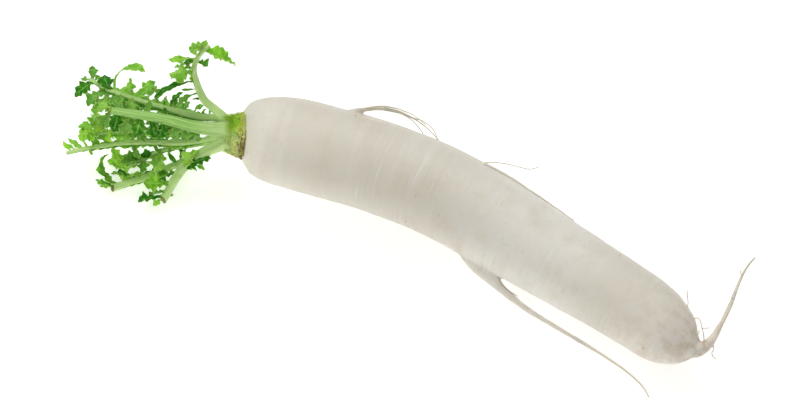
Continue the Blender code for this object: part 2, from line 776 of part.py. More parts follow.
def stalk_of(leaf, material):
    """The leaf's stalk and rib: a tube wider than it is thick."""
    rings = 4 + 2 * len(leaf.route)
    rows = smooth(leaf_rows(leaf), rings + 1)
    axes = frames(rows, UP)

    def place(along, around):
        ring = round(along * rings)
        turn = 2 * math.pi * around
        _, side, look = axes[ring]
        if ring == 0:
            side = (side - CROWN_AXIS * side.dot(CROWN_AXIS)).normalized()
            look = (look - CROWN_AXIS * look.dot(CROWN_AXIS)).normalized()
        half, deep = rows[ring][3:]
        spot = Vector(rows[ring][:3]) + half * math.cos(turn) * side + deep * math.sin(turn) * look
        spot.z = max(spot.z, FLOOR / 2)
        return spot

    return object_of(leaf.name, tube_of(place, rings, STALK_SIDES), material)


def leaflets_of(leaf):
    """The leaf's leaflets before they are kept clear of the other leaves."""
    draw = random.Random(leaf.name)
    count = 100
    rows = smooth(leaf_rows(leaf), count + 1)
    made = []
    for share, heading, pitch, length, width, sweep, droop, *looks in leaf.leaflets:
        x, y, z, half, deep = rows[min(round(share * count), count - 1)]
        drawn = draw.uniform(0.45, 0.85), draw.uniform(-26, 26), draw.uniform(-60, 60)
        depth, roll, twist = looks or drawn
        heading, pitch, sweep, droop = (math.radians(v) for v in (heading, pitch, sweep, droop))
        inset = 0.75 * half
        root = (x + inset * math.cos(heading), y + inset * math.sin(heading), z)
        made.append(
            Leaflet(
                root=Vector(root) + UP * (0.8 * deep * math.sin(pitch)),
                heading=heading,
                pitch=pitch,
                roll=math.radians(roll),
                length=length * MM,
                width=width * MM,
                sweep=sweep,
                droop=droop,
                twist=math.radians(twist),
                peak=draw.uniform(0.46, 0.72),
                cup=draw.uniform(-0.60, 0.80),
                wave=draw.uniform(0, 6.28),
                depth=depth,
            )
        )
    return made


def kept_clear(leaflet, obstacles):
    """The leaflet, lifted, lowered or shortened until it touches no obstacle, or None."""
    for shrink in (1.0, 0.75, 0.5):
        for lift in LIFTS:
            tried = replace(
                leaflet,
                pitch=leaflet.pitch + math.radians(lift),
                length=leaflet.length * shrink,
                width=leaflet.width * shrink**0.5,
            )
            test = leaflet_sheet(tried, BLADE + 2 * CLEARANCE)
            tree = BVHTree.FromBMesh(test)
            test.free()
            if not any(tree.overlap(other) for other in obstacles):
                return tried
    return None


def tree_of(obj):
    bm = bmesh.new()
    bm.from_mesh(obj.data)
    tree = BVHTree.FromBMesh(bm)
    bm.free()
    return tree


def leaves(neighbours, stalk_material):
    """Every leaf: the stalks first, then the leaflets, each clear of the other leaves."""
    stalks = {leaf.name: stalk_of(leaf, stalk_material) for leaf in LEAVES}
    trees = {name: [tree_of(stalk)] for name, stalk in stalks.items()}
    fixed = [tree_of(obj) for obj in neighbours]
    for leaf in LEAVES:
        others = [tree for name, known in trees.items() if name != leaf.name for tree in known]
        blades = []
        for index, wanted in enumerate(leaflets_of(leaf)):
            leaflet = kept_clear(wanted, fixed + others)
            if leaflet is None:
                continue
            sheet = leaflet_sheet(leaflet, BLADE)
            blades.append(object_of(f"{leaf.name}_blade_{index}", sheet, stalk_material))
        trees[leaf.name] += [tree_of(blade) for blade in blades]
        fuse(stalks[leaf.name], blades)


def main():
    clear_scene()
    root_white = finish("root_white", (0.80, 0.77, 0.69), 0.42)
    crown_green = finish("crown_green", (0.36, 0.43, 0.12), 0.75)
    leaf_green = finish("leaf_green", (0.13, 0.33, 0.05), 0.50)
    body = taproot(root_white)
    collar = crown(crown_green)
    leaves([body, collar], leaf_green)


main()
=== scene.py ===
"""A daikon radish as picked, lying on its side: the skin of its taproot with the side roots and hairs,
its fibrous crown, and its leaves, each a ribbed stalk with toothed and curled leaflets. Three of
the leaves are cut short.

Everything is in metres, with +Z up. The tables of stations are in millimetres.
"""

import math
import random
from dataclasses import dataclass, replace

import bmesh
import bpy
import numpy as np
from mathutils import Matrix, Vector, noise
from mathutils.bvhtree import BVHTree
from mathutils.kdtree import KDTree


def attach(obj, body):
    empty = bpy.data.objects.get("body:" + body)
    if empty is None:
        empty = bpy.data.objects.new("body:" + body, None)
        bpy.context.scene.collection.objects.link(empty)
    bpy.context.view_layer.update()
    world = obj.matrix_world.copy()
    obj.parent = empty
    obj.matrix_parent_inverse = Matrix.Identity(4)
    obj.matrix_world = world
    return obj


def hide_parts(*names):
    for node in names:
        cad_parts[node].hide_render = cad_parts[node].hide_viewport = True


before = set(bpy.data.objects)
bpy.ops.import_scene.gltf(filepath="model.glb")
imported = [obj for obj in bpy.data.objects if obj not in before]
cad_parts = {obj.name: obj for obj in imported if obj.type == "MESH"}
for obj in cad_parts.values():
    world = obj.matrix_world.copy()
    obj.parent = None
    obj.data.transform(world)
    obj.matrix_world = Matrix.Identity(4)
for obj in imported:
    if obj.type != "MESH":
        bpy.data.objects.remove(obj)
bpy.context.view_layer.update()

MM = 0.001
WELD = 0.000001  # distance within which points are merged
UP = Vector((0, 0, 1))

# The taproot: rows of the centre's x, y and z and the radius, from crown to tip.
TAPROOT = (
    (-181.4, -25.5, 38, 17.4), (-179.3, -24.24, 37.52, 22), (-175.9, -22.3, 36.8, 26.4),
    (-169.9, -19.6, 35.7, 30), (-160.5, -16.2, 34.6, 32.8), (-147, -12, 34, 34.6),
    (-113, -5.8, 34.5, 35.4), (-74, -0.6, 34.7, 35.6), (-26, 1.6, 34.4, 35.3), (11, -0.9, 33.7, 34.6),
    (54, -5.8, 31.6, 32.4), (90, -10, 30, 30.7), (130, -15, 28.3, 28.8), (152, -19, 27.8, 28),
    (168.3, -22.9, 27, 26), (181, -24.8, 26.2, 21.6), (190, -26.2, 26.2, 15.4),
    (196.8, -26.8, 26.8, 7.8),
)
TAPROOT_RINGS, TAPROOT_SIDES = 190, 120
END_CROWDING = 0.72  # how much closer the rings stand at both ends
SIDE_ROOT_SIDES, STRAND_SIDES, ROOTLET_SIDES = 24, 10, 6
THREAD_STEP = 1.3  # mm between the rings of a thin root
THREAD_NORMAL = (0.3, 0.2, 1)  # a direction that no thin root runs in
WANDER_SEED = 7  # without it, noise_vector starts from the clock
LOWEST = 0.05  # mm above the table
SKIN_STEP = 0.00105  # size of a face of the skin
SKIN_EASING = 5  # passes that round the corners where side roots leave

# Side roots that are thick at their base: rows of a centre and a radius.
TAIL = (
    (190, -27, 26.4, 7.6), (197.2, -27, 27, 6.4), (202, -23.6, 29.3, 4.6), (205, -16.6, 32.6, 3.4),
    (206.2, -5, 36.4, 2.5), (206.4, 12, 40.4, 1.8), (205.2, 26, 43, 1.2), (205.2, 41, 45.4, 0.8),
    (207.4, 52, 47, 0.5),
)
LONG_SIDE_ROOT = (
    (-6, -12, 24, 6.5), (7, -21, 20, 8.6), (22, -29, 16.5, 8.6), (33.5, -34, 13.5, 6.4),
    (42, -37.5, 11, 4.1), (55.5, -41, 8, 2.8), (72, -44, 6, 2.3), (94, -46, 4, 2), (116, -48, 2.8, 1.5),
    (134, -50, 1.9, 1), (150, -52.5, 1.4, 0.8), (164, -56, 1.1, 0.6), (174, -60.5, 1, 0.5),
    (180, -65, 0.9, 0.4),
)
UPPER_SIDE_ROOT = (
    (-122, 10, 50, 3.4), (-114, 18.5, 56.5, 2.8), (-103, 26, 60, 2), (-90, 33, 60.5, 1.6),
    (-77, 37, 58.5, 1.1), (-68, 38.8, 55, 0.6), (-57, 39, 50, 0.4), (-44, 36.5, 43, 0.35),
)
THIN = 1.5  # radius in mm below which a root is a thread on the skin
SHORT_OVERLAP = 2  # rings that a thread starts inside what it grows from

# Rootlets and hairs: how brown it is at its base and its end, then rows of a centre and a radius.
ROOTLETS = {
    "upper_fork": (0.4, 0.6, (
        (-82, 36, 59.6, 0.7), (-72, 37.6, 55.4, 0.4), (-64, 37.6, 49.4, 0.35), (-58, 36.2, 43.6, 0.35),
    )),
    "upper_loop": (0.4, 0.6, (
        (-70, 38.4, 55.8, 0.5), (-60, 41.2, 52.6, 0.35), (-51, 40.4, 47.4, 0.35), (-45, 35.4, 42, 0.35),
    )),
    "upper_strand": (0.3, 0.55, (
        (-112, 20, 58, 1.2), (-101, 26.8, 62.4, 0.9), (-90, 33.6, 63.4, 0.7), (-79, 37.6, 61.4, 0.5),
        (-70, 40.2, 57.6, 0.35), (-58, 40, 51.6, 0.3),
    )),
    "back_hair": (0.3, 0.6, (
        (-4, 31.6, 50, 0.7), (6, 36, 50.8, 0.45), (19, 39.8, 50.2, 0.35), (28.5, 42.6, 49.2, 0.35),
        (33.5, 47, 49.5, 0.35),
    )),
    "back_rib": (0.15, 0.35, (
        (-2, 25.4, 59.2, 1.2), (12, 26.8, 55.7, 1.1), (30, 26, 51.5, 1), (48, 24.1, 48.9, 0.8),
        (64, 21.9, 46.5, 0.6), (76, 20.1, 44.9, 0.4),
    )),
    "shoulder_hair": (0.5, 0.9, (
        (36, -31, 19, 0.7), (43, -35.6, 16, 0.4), (51, -38.8, 12.6, 0.35), (60, -38.6, 9, 0.35),
    )),
    "tip_hair": (0.3, 0.6, (
        (178.6, -9, 40, 0.8), (179.4, -4.6, 43.4, 0.4), (177.2, -1.4, 47.4, 0.35),
        (174.8, 1.8, 51.4, 0.35),
    )),
    "tip_loop": (0.3, 0.5, (
        (184, -12, 36.6, 0.8), (190.4, -8.8, 38.8, 0.45), (195.4, -14.2, 37.8, 0.4),
        (199, -18.6, 35.2, 0.4), (201, -22.4, 32, 0.5),
    )),
    "tip_loop_fork": (0.4, 0.6, (
        (195.2, -14.6, 37.8, 0.4), (198, -13.6, 38.8, 0.35), (200.6, -12.2, 39.4, 0.35),
    )),
    "tip_spike": (0.4, 0.6, (
        (192.6, -21, 34.6, 0.5), (194.6, -18.8, 36.8, 0.4), (194.6, -17, 39, 0.35),
    )),
    "tail_hook": (0.3, 0.6, (
        (204.4, -20.4, 31, 0.7), (208.6, -21, 29, 0.4), (208.6, -23.6, 26.6, 0.35),
        (211, -25.4, 25, 0.35), (213.6, -25.4, 24.4, 0.3),
    )),
    "tail_stub": (0.3, 0.6, (
        (203.6, -19.8, 31, 0.9), (206.4, -19, 30.6, 0.6), (208.4, -20.2, 30, 0.35),
    )),
    "tail_hair": (0.4, 0.6, (
        (205.4, 33.4, 43.8, 0.5), (203.6, 35.8, 45, 0.35), (201.8, 38.4, 46, 0.3),
    )),
}

# The crown stands on the taproot's end and carries the leaf stalks on its other end.
CROWN_TURN, CROWN_TILT = math.radians(31), math.radians(11)
CROWN_AXIS = Vector((
    -math.cos(CROWN_TURN) * math.cos(CROWN_TILT),
    -math.sin(CROWN_TURN) * math.cos(CROWN_TILT),
    math.sin(CROWN_TILT),
))
CROWN_FRONT = Vector((math.sin(CROWN_TURN), -math.cos(CROWN_TURN), 0))
CROWN_UP = CROWN_AXIS.cross(CROWN_FRONT)
CROWN_FOOT = Vector(TAPROOT[0][:3]) * MM
CROWN_LENGTH = 0.0105
CROWN_RADII = (0.0176, 0.0140)  # at its foot and its end
SEAM = 0.0003  # between the solids of the taproot, the crown and the stalks
CROWN_RINGS, CROWN_SIDES = 44, 240
SCALES, FIBRES, STRANDS = 8, 1100, 230
SCALE_THICKNESS = 0.00022

# Leaves.
BLADE = 0.0008  # thickness of a leaflet's solid
FINE_BLADE = 0.00035  # thickness of a leaflet
FLOOR = 0.0010  # how low a leaflet's middle may be, before its fine shape is added
ARCH_HEIGHT = 0.076  # above which leaflets are lighter
CLEARANCE = 0.0007  # kept between leaves
STALK_SIDES = 8
FINE_STALK_RINGS, FINE_STALK_SIDES = 84, 44
BLADE_ROWS, BLADE_COLUMNS = 16, 14  # of faces, for each tooth and across
WING_ROWS, WING_COLUMNS = 110, 4
SPINE_STEPS = 12
LIFTS = (0, 12, -12, 24, -24, 38, -38, 54, -54)  # degrees by which a leaflet is turned clear


@dataclass
class Leaf:
    """One leaf, in millimetres and degrees.

    seat is where its stalk stands on the crown, to the front and up. route is the points that its
    rib follows. stalk is the width and thickness at the foot, then at the end. cut says that its
    rib was cut across, and pale is how pale its stalk is, from 0 to 1; on the front long leaf it is
    partly painted light, which lifts the shade on its rib. wing is the share of the rib where
    thin tissue starts along its sides, the share where it ends, and its width, or zeros for none.
    leaflets are rows of the share of the rib where it leaves, the heading seen from above, the
    pitch, the length, the width, how far it turns sideways and how far it bends down. On some, how
    deep its teeth are, its roll and its twist follow, and on a few the share where it is widest."""

    name: str
    seat: tuple
    route: tuple
    stalk: tuple
    cut: bool
    pale: float
    wing: tuple
    leaflets: tuple


ARCHED = Leaf(
    "leaf_arched", (-11.1, 5.3),
    (
        (-200.6, -22.1, 48), (-208.1, -21.7, 52.5), (-215.2, -21.8, 58.5), (-219.4, -20.3, 65.5),
        (-223, -18.3, 74), (-225.3, -16.4, 81.5), (-225.5, -13.6, 89), (-222.7, -5.6, 98),
        (-219.6, -0.3, 100.5),
    ),
    (7.6, 6.4, 4.2, 3.4),
    False, 0.8, (0.50, 0.99, 3.4),
    (
        (0.93, 15, -14, 25, 9.5, -10, 12, 0.25, 10, 10, 0.34), (1, 172, 6, 6, 7.5, 20, 25, 0.3, 10, 0),
        (0.98, 212, 4, 12, 9, 35, 25, 0.4, 10, 0), (0.99, 195, 4, 9, 8, 30, 25, 0.4, -10, 0),
        (0.79, 30, -20, 8, 7, -20, 10, 0.5, 0, 0), (0.8, 210, -15, 10, 8, 10, 10),
        (0.83, 210, 5, 20, 5.6, 0, 10), (0.66, 200, -8, 18, 13, 10, 10), (0.71, 205, 5, 13, 7, 0, 10),
        (0.55, 210, -4, 33, 4.4, 45, 10), (0.46, 215, 0, 11, 2, -10, 10),
        (0.41, 215, -8, 19, 4.6, 50, 10), (0.34, 210, 0, 6, 2, 0, 10), (0.18, 190, 20, 4, 1.8, 0, 10),
    ),
)
BACK_LONG = Leaf(
    "leaf_back_long", (-9.5, -1.8),
    (
        (-202.2, -22.5, 40), (-216.7, -29.7, 44.5), (-227.8, -34, 48), (-239.5, -38, 51),
        (-252, -41, 53), (-266, -43.3, 54), (-282.3, -45.5, 55), (-295, -45, 55), (-303.8, -43.8, 55),
    ),
    (7.4, 5.4, 2.8, 2.2),
    False, 0.5, (0.14, 0.97, 9.0),
    (
        (0.98, 118, 8, 12, 6, 0, 5), (0.99, 200, 0, 7, 4.5, 0, 5),
        (0.96, 230, -4, 18, 9, 35, 15, 0.5, 5, 10), (0.97, 75, 0, 6, 3, 0, 5),
        (0.84, 228, -2, 20, 9.5, 40, 15, 0.5, -5, 10), (0.8, 175, 26, 15, 10.5, -60, 10, 0.4, 0, 10),
        (0.79, 134, 18, 37, 6, -150, 10, 0.3, 0, 30, 0.84), (0.7, 115, 32, 13, 7, -15, 15),
        (0.63, 85, 20, 18, 9, -20, 15), (0.58, 90, 18, 14, 3.4, -15, 10),
        (0.5, 120, 22, 12, 5.5, -20, 10), (0.45, 110, 25, 8, 2.4, 0, 10),
        (0.41, 110, 12, 16, 4, -70, 10), (0.36, 140, 10, 10, 4.4, -50, 10),
        (0.32, 110, 18, 9, 4.6, -60, 10), (0.26, 90, 18, 10, 3.8, -60, 10),
        (0.2, 100, 12, 6, 2, -40, 10), (0.15, 115, 12, 5, 1.8, -40, 10), (0.82, 258, -10, 26, 8, 15, 15),
        (0.77, 255, -25, 16, 9.5, 0, 15), (0.7, 265, -35, 13, 9.5, 0, 15),
        (0.63, 268, -40, 12, 8.5, 0, 15), (0.56, 285, -45, 11, 7.5, 0, 15),
        (0.49, 290, -40, 9, 6, 0, 10),
    ),
)
CUT_TOP = Leaf(
    "leaf_cut_top", (0.3, 8.2),
    ((-198, -37.7, 52), (-209.9, -44.8, 57), (-230.5, -51.6, 61.5), (-254.7, -60, 64), (-271, -65.9, 65)),
    (15, 7.4, 5.8, 4.4),
    True, 0.1, (0, 0, 0),
    (
        (0.97, 165, -5, 15, 9.5, 0, 20), (0.9, 145, -8, 17, 9.5, 0, 20), (0.8, 130, -12, 16, 9, 0, 20),
        (0.68, 125, -14, 14, 7.5, 0, 20), (0.55, 115, -14, 11, 6, 0, 20),
        (0.98, 252, -30, 12, 10.5, 10, 20), (0.93, 283, -20, 14, 12, 0, 30),
        (0.84, 280, -24, 14, 12, 0, 30), (0.75, 290, -24, 14, 11, -20, 30),
        (0.65, 297, -26, 13, 10, 20, 30), (0.56, 290, -30, 12, 9, -20, 25),
        (0.47, 302, -32, 11, 8, 20, 25), (0.38, 305, -34, 10, 6.5, -20, 25),
        (0.3, 315, -36, 8, 5, 0, 25),
    ),
)
FRONT_LONG = Leaf(
    "leaf_front_long", (1.0, -2.6),
    (
        (-201.2, -36.5, 35.4), (-208.3, -41.6, 33.3), (-217, -46, 31), (-230.4, -52, 28.5),
        (-246, -58, 26.5), (-261, -65, 24.5), (-273, -72, 22.5), (-287, -80.6, 20),
        (-300.8, -91.2, 17.5),
    ),
    (6.2, 4.8, 3.4, 2.6),
    # pale 1.0 here is partly painted light, which lifts the shade on this rib
    False, 1.0, (0.05, 0.98, 3.4),
    (
        (0.97, 162, 8, 10, 3.6, -10, 10), (0.94, 172, 10, 7, 2.6, 0, 10),
        (0.89, 186, 14, 14, 4, -20, 10), (0.87, 154, 16, 17, 5, -50, 10),
        (0.82, 150, 20, 22, 10.5, -10, 20), (0.79, 165, 18, 14, 6, -20, 10),
        (0.75, 140, 20, 20, 10, -10, 20), (0.71, 165, 20, 12, 5, -30, 10),
        (0.67, 142, 25, 15, 9, -10, 15), (0.63, 138, 30, 14, 9, 0, 15), (0.59, 134, 28, 13, 8.5, 10, 20),
        (0.55, 130, 32, 12, 8.5, 0, 15), (0.51, 126, 28, 11, 8, 10, 20), (0.47, 122, 30, 10, 8, 0, 15),
        (0.43, 114, 28, 10, 7.5, 10, 20), (0.39, 106, 32, 9, 7, -10, 15), (0.34, 98, 30, 8, 6, -10, 15),
        (0.29, 94, 28, 7, 5, 0, 15), (0.24, 90, 25, 6, 4.2, 0, 15), (0.72, 315, -4, 21, 7.5, 45, 15),
        (0.6, 320, -4, 15, 4.6, 20, 15), (0.48, 338, -8, 10, 4.2, 10, 10), (0.86, 318, -5, 5, 3, 0, 10),
        (0.36, 295, -10, 8, 3, -30, 10),
    ),
)
CUT_LOW = Leaf(
    "leaf_cut_low", (7.9, 1.5),
    (
        (-192.7, -42.4, 39), (-197.7, -46.1, 35.5), (-203.9, -51.3, 30.5), (-210, -57.2, 25),
        (-213.9, -64.9, 20), (-215.5, -71.9, 16.5), (-216.5, -77.6, 13), (-217.2, -83, 10),
        (-217.8, -88.3, 7.8),
    ),
    (10.5, 7.4, 6.8, 5.4),
    True, 1.0, (0, 0, 0),
    (
        (0.63, 38, 55, 25, 11, -15, 50, 0.5, 0, 10), (0.5, 345, 20, 13, 3, 10, 10),
        (0.65, 55, 65, 20, 9, 10, 50, 0.6, 0, 0), (0.68, 205, 0, 13, 10, 40, 20),
        (0.81, 213, 12, 19, 13, -10, 15, 0.5, 0, 10), (0.9, 215, 5, 12, 6, 10, 15),
        (0.96, 215, -2, 19, 8, 0, 10), (0.98, 245, -2, 8, 4.6, 0, 10), (0.96, 38, 5, 4, 1.8, 0, 10),
    ),
)
CUT_SHORT = Leaf(
    "leaf_cut_short", (-1.6, -11.4),
    (
        (-200.6, -36.7, 25.4), (-207.6, -42.8, 20.8), (-215.2, -52, 16.4), (-224.2, -61.5, 13),
        (-232.8, -70, 10), (-239.6, -77.8, 8.5), (-249.5, -87.8, 7), (-257.8, -96.5, 6),
    ),
    (6.2, 4.7, 6, 4.8),
    True, 0.8, (0.55, 0.95, 3.0),
    (
        (0.98, 185, 4, 15, 4.6, 5, 10), (0.97, 160, 14, 13, 4.4, -20, 10),
        (0.92, 200, 14, 33, 5.4, -125, 10), (0.77, 196, 8, 21, 7.5, 0, 10),
        (0.66, 215, 10, 18, 6.5, 10, 10), (0.82, 178, 14, 12, 7, -10, 10), (0.99, 200, 2, 9, 3.6, 0, 10),
        (0.9, 150, 14, 9, 4.4, -20, 10),
    ),
)
MIDDLE = Leaf(
    "leaf_middle", (3.6, -7.4),
    (
        (-204.3, -38.2, 29.2), (-209.6, -40.8, 26.8), (-218, -45.5, 24), (-230.5, -53, 21.5),
        (-238.4, -59, 19), (-247.8, -70.8, 16), (-254, -78.4, 15),
    ),
    (4.4, 3.6, 3, 2.4),
    False, 0.5, (0.35, 0.97, 2.0),
    (
        (0.98, 190, 0, 18, 9, 10, 10), (0.84, 218, 0, 24, 12, 0, 15), (0.9, 235, -4, 18, 10, 10, 15),
        (0.82, 200, 12, 12, 7.5, -20, 10), (0.74, 220, 16, 9, 6.5, 0, 10),
        (0.73, 305, -4, 22, 11, 40, 20), (0.83, 285, -8, 14, 9, 10, 15), (0.66, 290, -6, 13, 6, 20, 15),
        (0.6, 315, -6, 12, 3.6, 40, 10), (0.51, 345, 0, 9, 2.8, 20, 10), (0.63, 125, 25, 6, 4.4, 0, 10),
        (0.5, 100, 25, 5, 3.6, 0, 10), (0.42, 285, -8, 10, 4.2, -20, 10),
    ),
)
INNER = Leaf(
    "leaf_inner", (-4.2, 1.6),
    ((-207, -33.5, 37.5), (-222, -42.5, 38.5), (-242, -54, 39), (-263, -64, 38), (-284, -74, 34)),
    (4.4, 3.8, 2.4, 2),
    False, 0.4, (0.03, 0.96, 6.5),
    (
        (1, 205, -5, 15, 11, 0, 30), (0.96, 240, 8, 10, 9, 20, 20), (0.92, 150, 0, 18, 11, -20, 30),
        (0.85, 250, 10, 9, 9, 20, 20), (0.8, 125, 0, 19, 11, -20, 30), (0.74, 270, 12, 8, 9, 20, 20),
        (0.68, 120, 0, 18, 11, -20, 30), (0.62, 262, 15, 8, 9, 20, 20), (0.57, 118, 0, 17, 10, -20, 20),
        (0.51, 275, 15, 7, 8, 20, 15), (0.46, 112, 0, 15, 9, -20, 20), (0.4, 280, 15, 6, 7, 20, 15),
        (0.35, 110, 0, 12, 8, -20, 20), (0.28, 290, 10, 5, 5, 20, 10), (0.24, 105, 0, 8, 5.5, 0, 10),
        (0.98, 130, 8, 17, 11, -15, 30), (0.88, 185, 18, 17, 10, -20, 40),
        (0.76, 160, 20, 16, 10, -20, 40), (0.64, 165, 18, 15, 9, -20, 40),
        (0.52, 150, 18, 14, 9, -20, 40), (0.41, 150, 15, 12, 8, -20, 40),
    ),
)
# Leaflets keep clear of the other leaves' stalks, and of the leaflets of the leaves before theirs.
LEAVES = (ARCHED, CUT_TOP, BACK_LONG, FRONT_LONG, CUT_LOW, CUT_SHORT, MIDDLE, INNER)

# ---------------------------------------------------------------- finishes


class Field:
    """A value that varies over a surface, a node's output. Python's operators combine them."""

    def __init__(self, finish, socket):
        self.finish = finish
        self.socket = socket

    def __add__(self, other):
        return self.finish.maths("ADD", self, other)

    def __sub__(self, other):
        return self.finish.maths("SUBTRACT", self, other)

    def __rsub__(self, other):
        return self.finish.maths("SUBTRACT", other, self)

    def __mul__(self, other):
        return self.finish.maths("MULTIPLY", self, other)

    __radd__ = __add__
    __rmul__ = __mul__


class Finish:
    """A material. What is the same all over is set on the shader's own sockets."""

    def __init__(self, name, sockets):
        self.material = bpy.data.materials.new(name)
        self.material.use_nodes = True
        self.tree = self.material.node_tree
        self.shader = self.tree.nodes["Principled BSDF"]
        self.feed(self.shader, sockets)

    def feed(self, node, sockets):
        for name, value in sockets.items():
            if isinstance(value, Field):
                self.tree.links.new(value.socket, node.inputs[name])
            else:
                node.inputs[name].default_value = value

    def node(self, kind, settings=None, sockets=None, output=0):
        """A new node: first its settings, then its sockets' values or links. Gives one output."""
        node = self.tree.nodes.new("ShaderNode" + kind)
        for name, value in (settings or {}).items():
            setattr(node, name, value)
        self.feed(node, sockets or {})
        return Field(self, node.outputs[output])

    def maths(self, operation, *values):
        return self.node("Math", {"operation": operation}, dict(enumerate(values)))

    def part(self, vector, axis):
        """One of a vector's three numbers."""
        return self.node("SeparateXYZ", None, {0: vector}, axis)

    def stretched(self, vector, scale):
        return self.node("VectorMath", {"operation": "MULTIPLY"}, {0: vector, 1: scale})

    def clouds(self, vector, scale, detail=3.0, roughness=0.5):
        sockets = {"Vector": vector, "Scale": scale, "Detail": detail, "Roughness": roughness}
        return self.node("TexNoise", {"noise_dimensions": "3D"}, sockets)

    def rise(self, value, low, high):
        """0 below low, 1 above high, and smooth between them. low may be the greater."""
        sockets = {"Value": value, "From Min": low, "From Max": high}
        return self.node("MapRange", {"interpolation_type": "SMOOTHSTEP"}, sockets)

    def mix(self, share, color, other):
        """color where share is 0 and other where it is 1."""
        color, other = ((*c, 1) if isinstance(c, tuple) else c for c in (color, other))
        return self.node("Mix", {"data_type": "RGBA"}, {0: share, 6: color, 7: other}, 2)

    def mark(self):
        return self.node("Attribute", {"attribute_name": "mark"}, None, 1)

    def tone(self):
        return self.node("Attribute", {"attribute_name": "tone"}, None, 2)

    def place(self):
        return self.node("TexCoord", None, None, 3)

    def bump(self, height, strength, distance):
        return self.node("Bump", None, {"Strength": strength, "Distance": distance, "Height": height})


def skin_finish():
    """Satin cream skin: faint clouds, growth lines across the root, pores, and a tip with brown
    patches. mark is the place on the root as if it were straight. tone is 0 on the root itself, and
    rises along side roots, which are made paler at first, painted light that lifts the shadow
    the body casts on them, then straw, then brown."""
    f = Finish("skin", {
        "Subsurface Weight": 0.20,
        "Subsurface Radius": (0.0040, 0.0028, 0.0016),
        "Subsurface Scale": 1.0,
        "Specular IOR Level": 0.35,
    })
    mark, tone, spot = f.mark(), f.tone(), f.place()
    along = f.part(mark, 0)
    cream, chalk, sand = (0.775, 0.738, 0.655), (0.89, 0.863, 0.815), (0.69, 0.615, 0.50)
    clouds = f.clouds(spot, 42.0, 4.0, 0.55)
    grain = f.clouds(spot, 420.0, 3.0, 0.6)
    rings = f.clouds(f.stretched(mark, (420.0, 16.0, 16.0)), 1.0, 4.0, 0.6)
    broad = f.clouds(f.stretched(mark, (90.0, 14.0, 14.0)), 1.0, 2.0, 0.5)
    presence = f.rise(f.clouds(spot, 24.0, 2.0), 0.40, 0.62) * f.rise(along, 0.03, 0.16)
    middle = f.rise(along, 0.15, 0.235) * f.rise(along, 0.325, 0.265)
    color = f.mix(middle * 0.85, cream, chalk)
    color = f.mix(f.rise(along, 0.05, 0.0) * 0.4, color, chalk)
    color = f.mix(f.rise(clouds, 0.45, 0.75) * 0.40, color, sand)
    color = f.mix(f.rise(rings, 0.54, 0.70) * presence * 0.75, color, (0.91, 0.895, 0.86))
    color = f.mix(f.rise(rings, 0.46, 0.30) * presence * 0.42, color, sand)
    color = f.mix(f.rise(broad, 0.52, 0.70) * 0.22, color, chalk)
    color = f.mix(f.rise(grain, 0.54, 0.74) * 0.30, color, sand)
    tip = f.rise(along + clouds * 0.05, 0.325, 0.415)
    patches = f.clouds(spot, 120.0, 4.0, 0.65)
    color = f.mix(tip * 0.55, color, (0.88, 0.83, 0.78))
    end = f.rise(along + clouds * 0.04, 0.375, 0.425)
    color = f.mix((tip * 0.35 + end * 0.45) * f.rise(patches, 0.40, 0.66), color, (0.56, 0.44, 0.29))
    color = f.mix(f.rise(patches, 0.58, 0.78) * 0.22, color, (0.66, 0.57, 0.44))
    pores = f.node("TexVoronoi", {"feature": "F1"}, {
        "Vector": f.stretched(mark, (130.0, 45.0, 45.0)), "Scale": 1.0, "Randomness": 1.0,
    })
    color = f.mix(f.rise(pores, 0.13, 0.05) * f.rise(clouds, 0.50, 0.62) * 0.5, color, (0.42, 0.33, 0.19))
    # painted light: side roots and rootlets are made paler, lifting the shadow that the body casts on them
    color = f.mix(f.rise(tone, 0.02, 0.12) * 0.6, color, (0.93, 0.88, 0.76))
    straw = f.mix(f.rise(tone, 0.5, 1.0), (0.62, 0.56, 0.45), (0.34, 0.29, 0.23))
    color = f.mix(f.rise(tone + (grain - 0.5) * 0.2, 0.16, 0.60), color, straw)
    height = rings * presence * 0.9 + grain * 0.5 + broad * 0.6 + patches * 0.5
    f.feed(f.shader, {
        "Base Color": color,
        "Roughness": 0.42 + grain * 0.14,
        "Normal": f.bump(height, 0.45, 0.0006),
    })
    return f.material


def crown_finish():
    """Soft fur that turns from green to yellow-green, olive, brown and straw as tone rises, and is
    paler on its front. mark is the distance from the root, and where on the crown's round it is."""
    f = Finish("crown", {
        "Subsurface Weight": 0.15, "Subsurface Radius": (0.001, 0.0015, 0.0004),
        "Subsurface Scale": 1.0, "Specular IOR Level": 0.25,
    })
    tone, spot = f.tone(), f.place()
    grain = f.clouds(spot, 900.0, 3.0, 0.6)
    clouds = f.clouds(spot, 210.0, 3.0)
    age = tone + (clouds - 0.5) * 0.55
    front = f.rise(f.part(f.mark(), 1), 0.0, 0.014)
    green = f.mix(f.rise(grain, 0.35, 0.65), (0.18, 0.45, 0.015), (0.39, 0.67, 0.055))
    fresh = f.mix(f.rise(age, 0.02, 0.26), green, (0.53, 0.73, 0.065))
    fresh = f.mix(front * 0.65, fresh, (0.70, 0.78, 0.36))
    old = f.mix(f.rise(age, 0.58, 0.74), (0.44, 0.42, 0.09), (0.130, 0.080, 0.020))
    old = f.mix(f.rise(age, 0.88, 1.02), old, (0.72, 0.70, 0.34))
    f.feed(f.shader, {
        "Base Color": f.mix(f.rise(age, 0.36, 0.56), fresh, old),
        "Roughness": 0.62 + clouds * 0.3,
        "Normal": f.bump(grain, 0.6, 0.0005),
    })
    return f.material


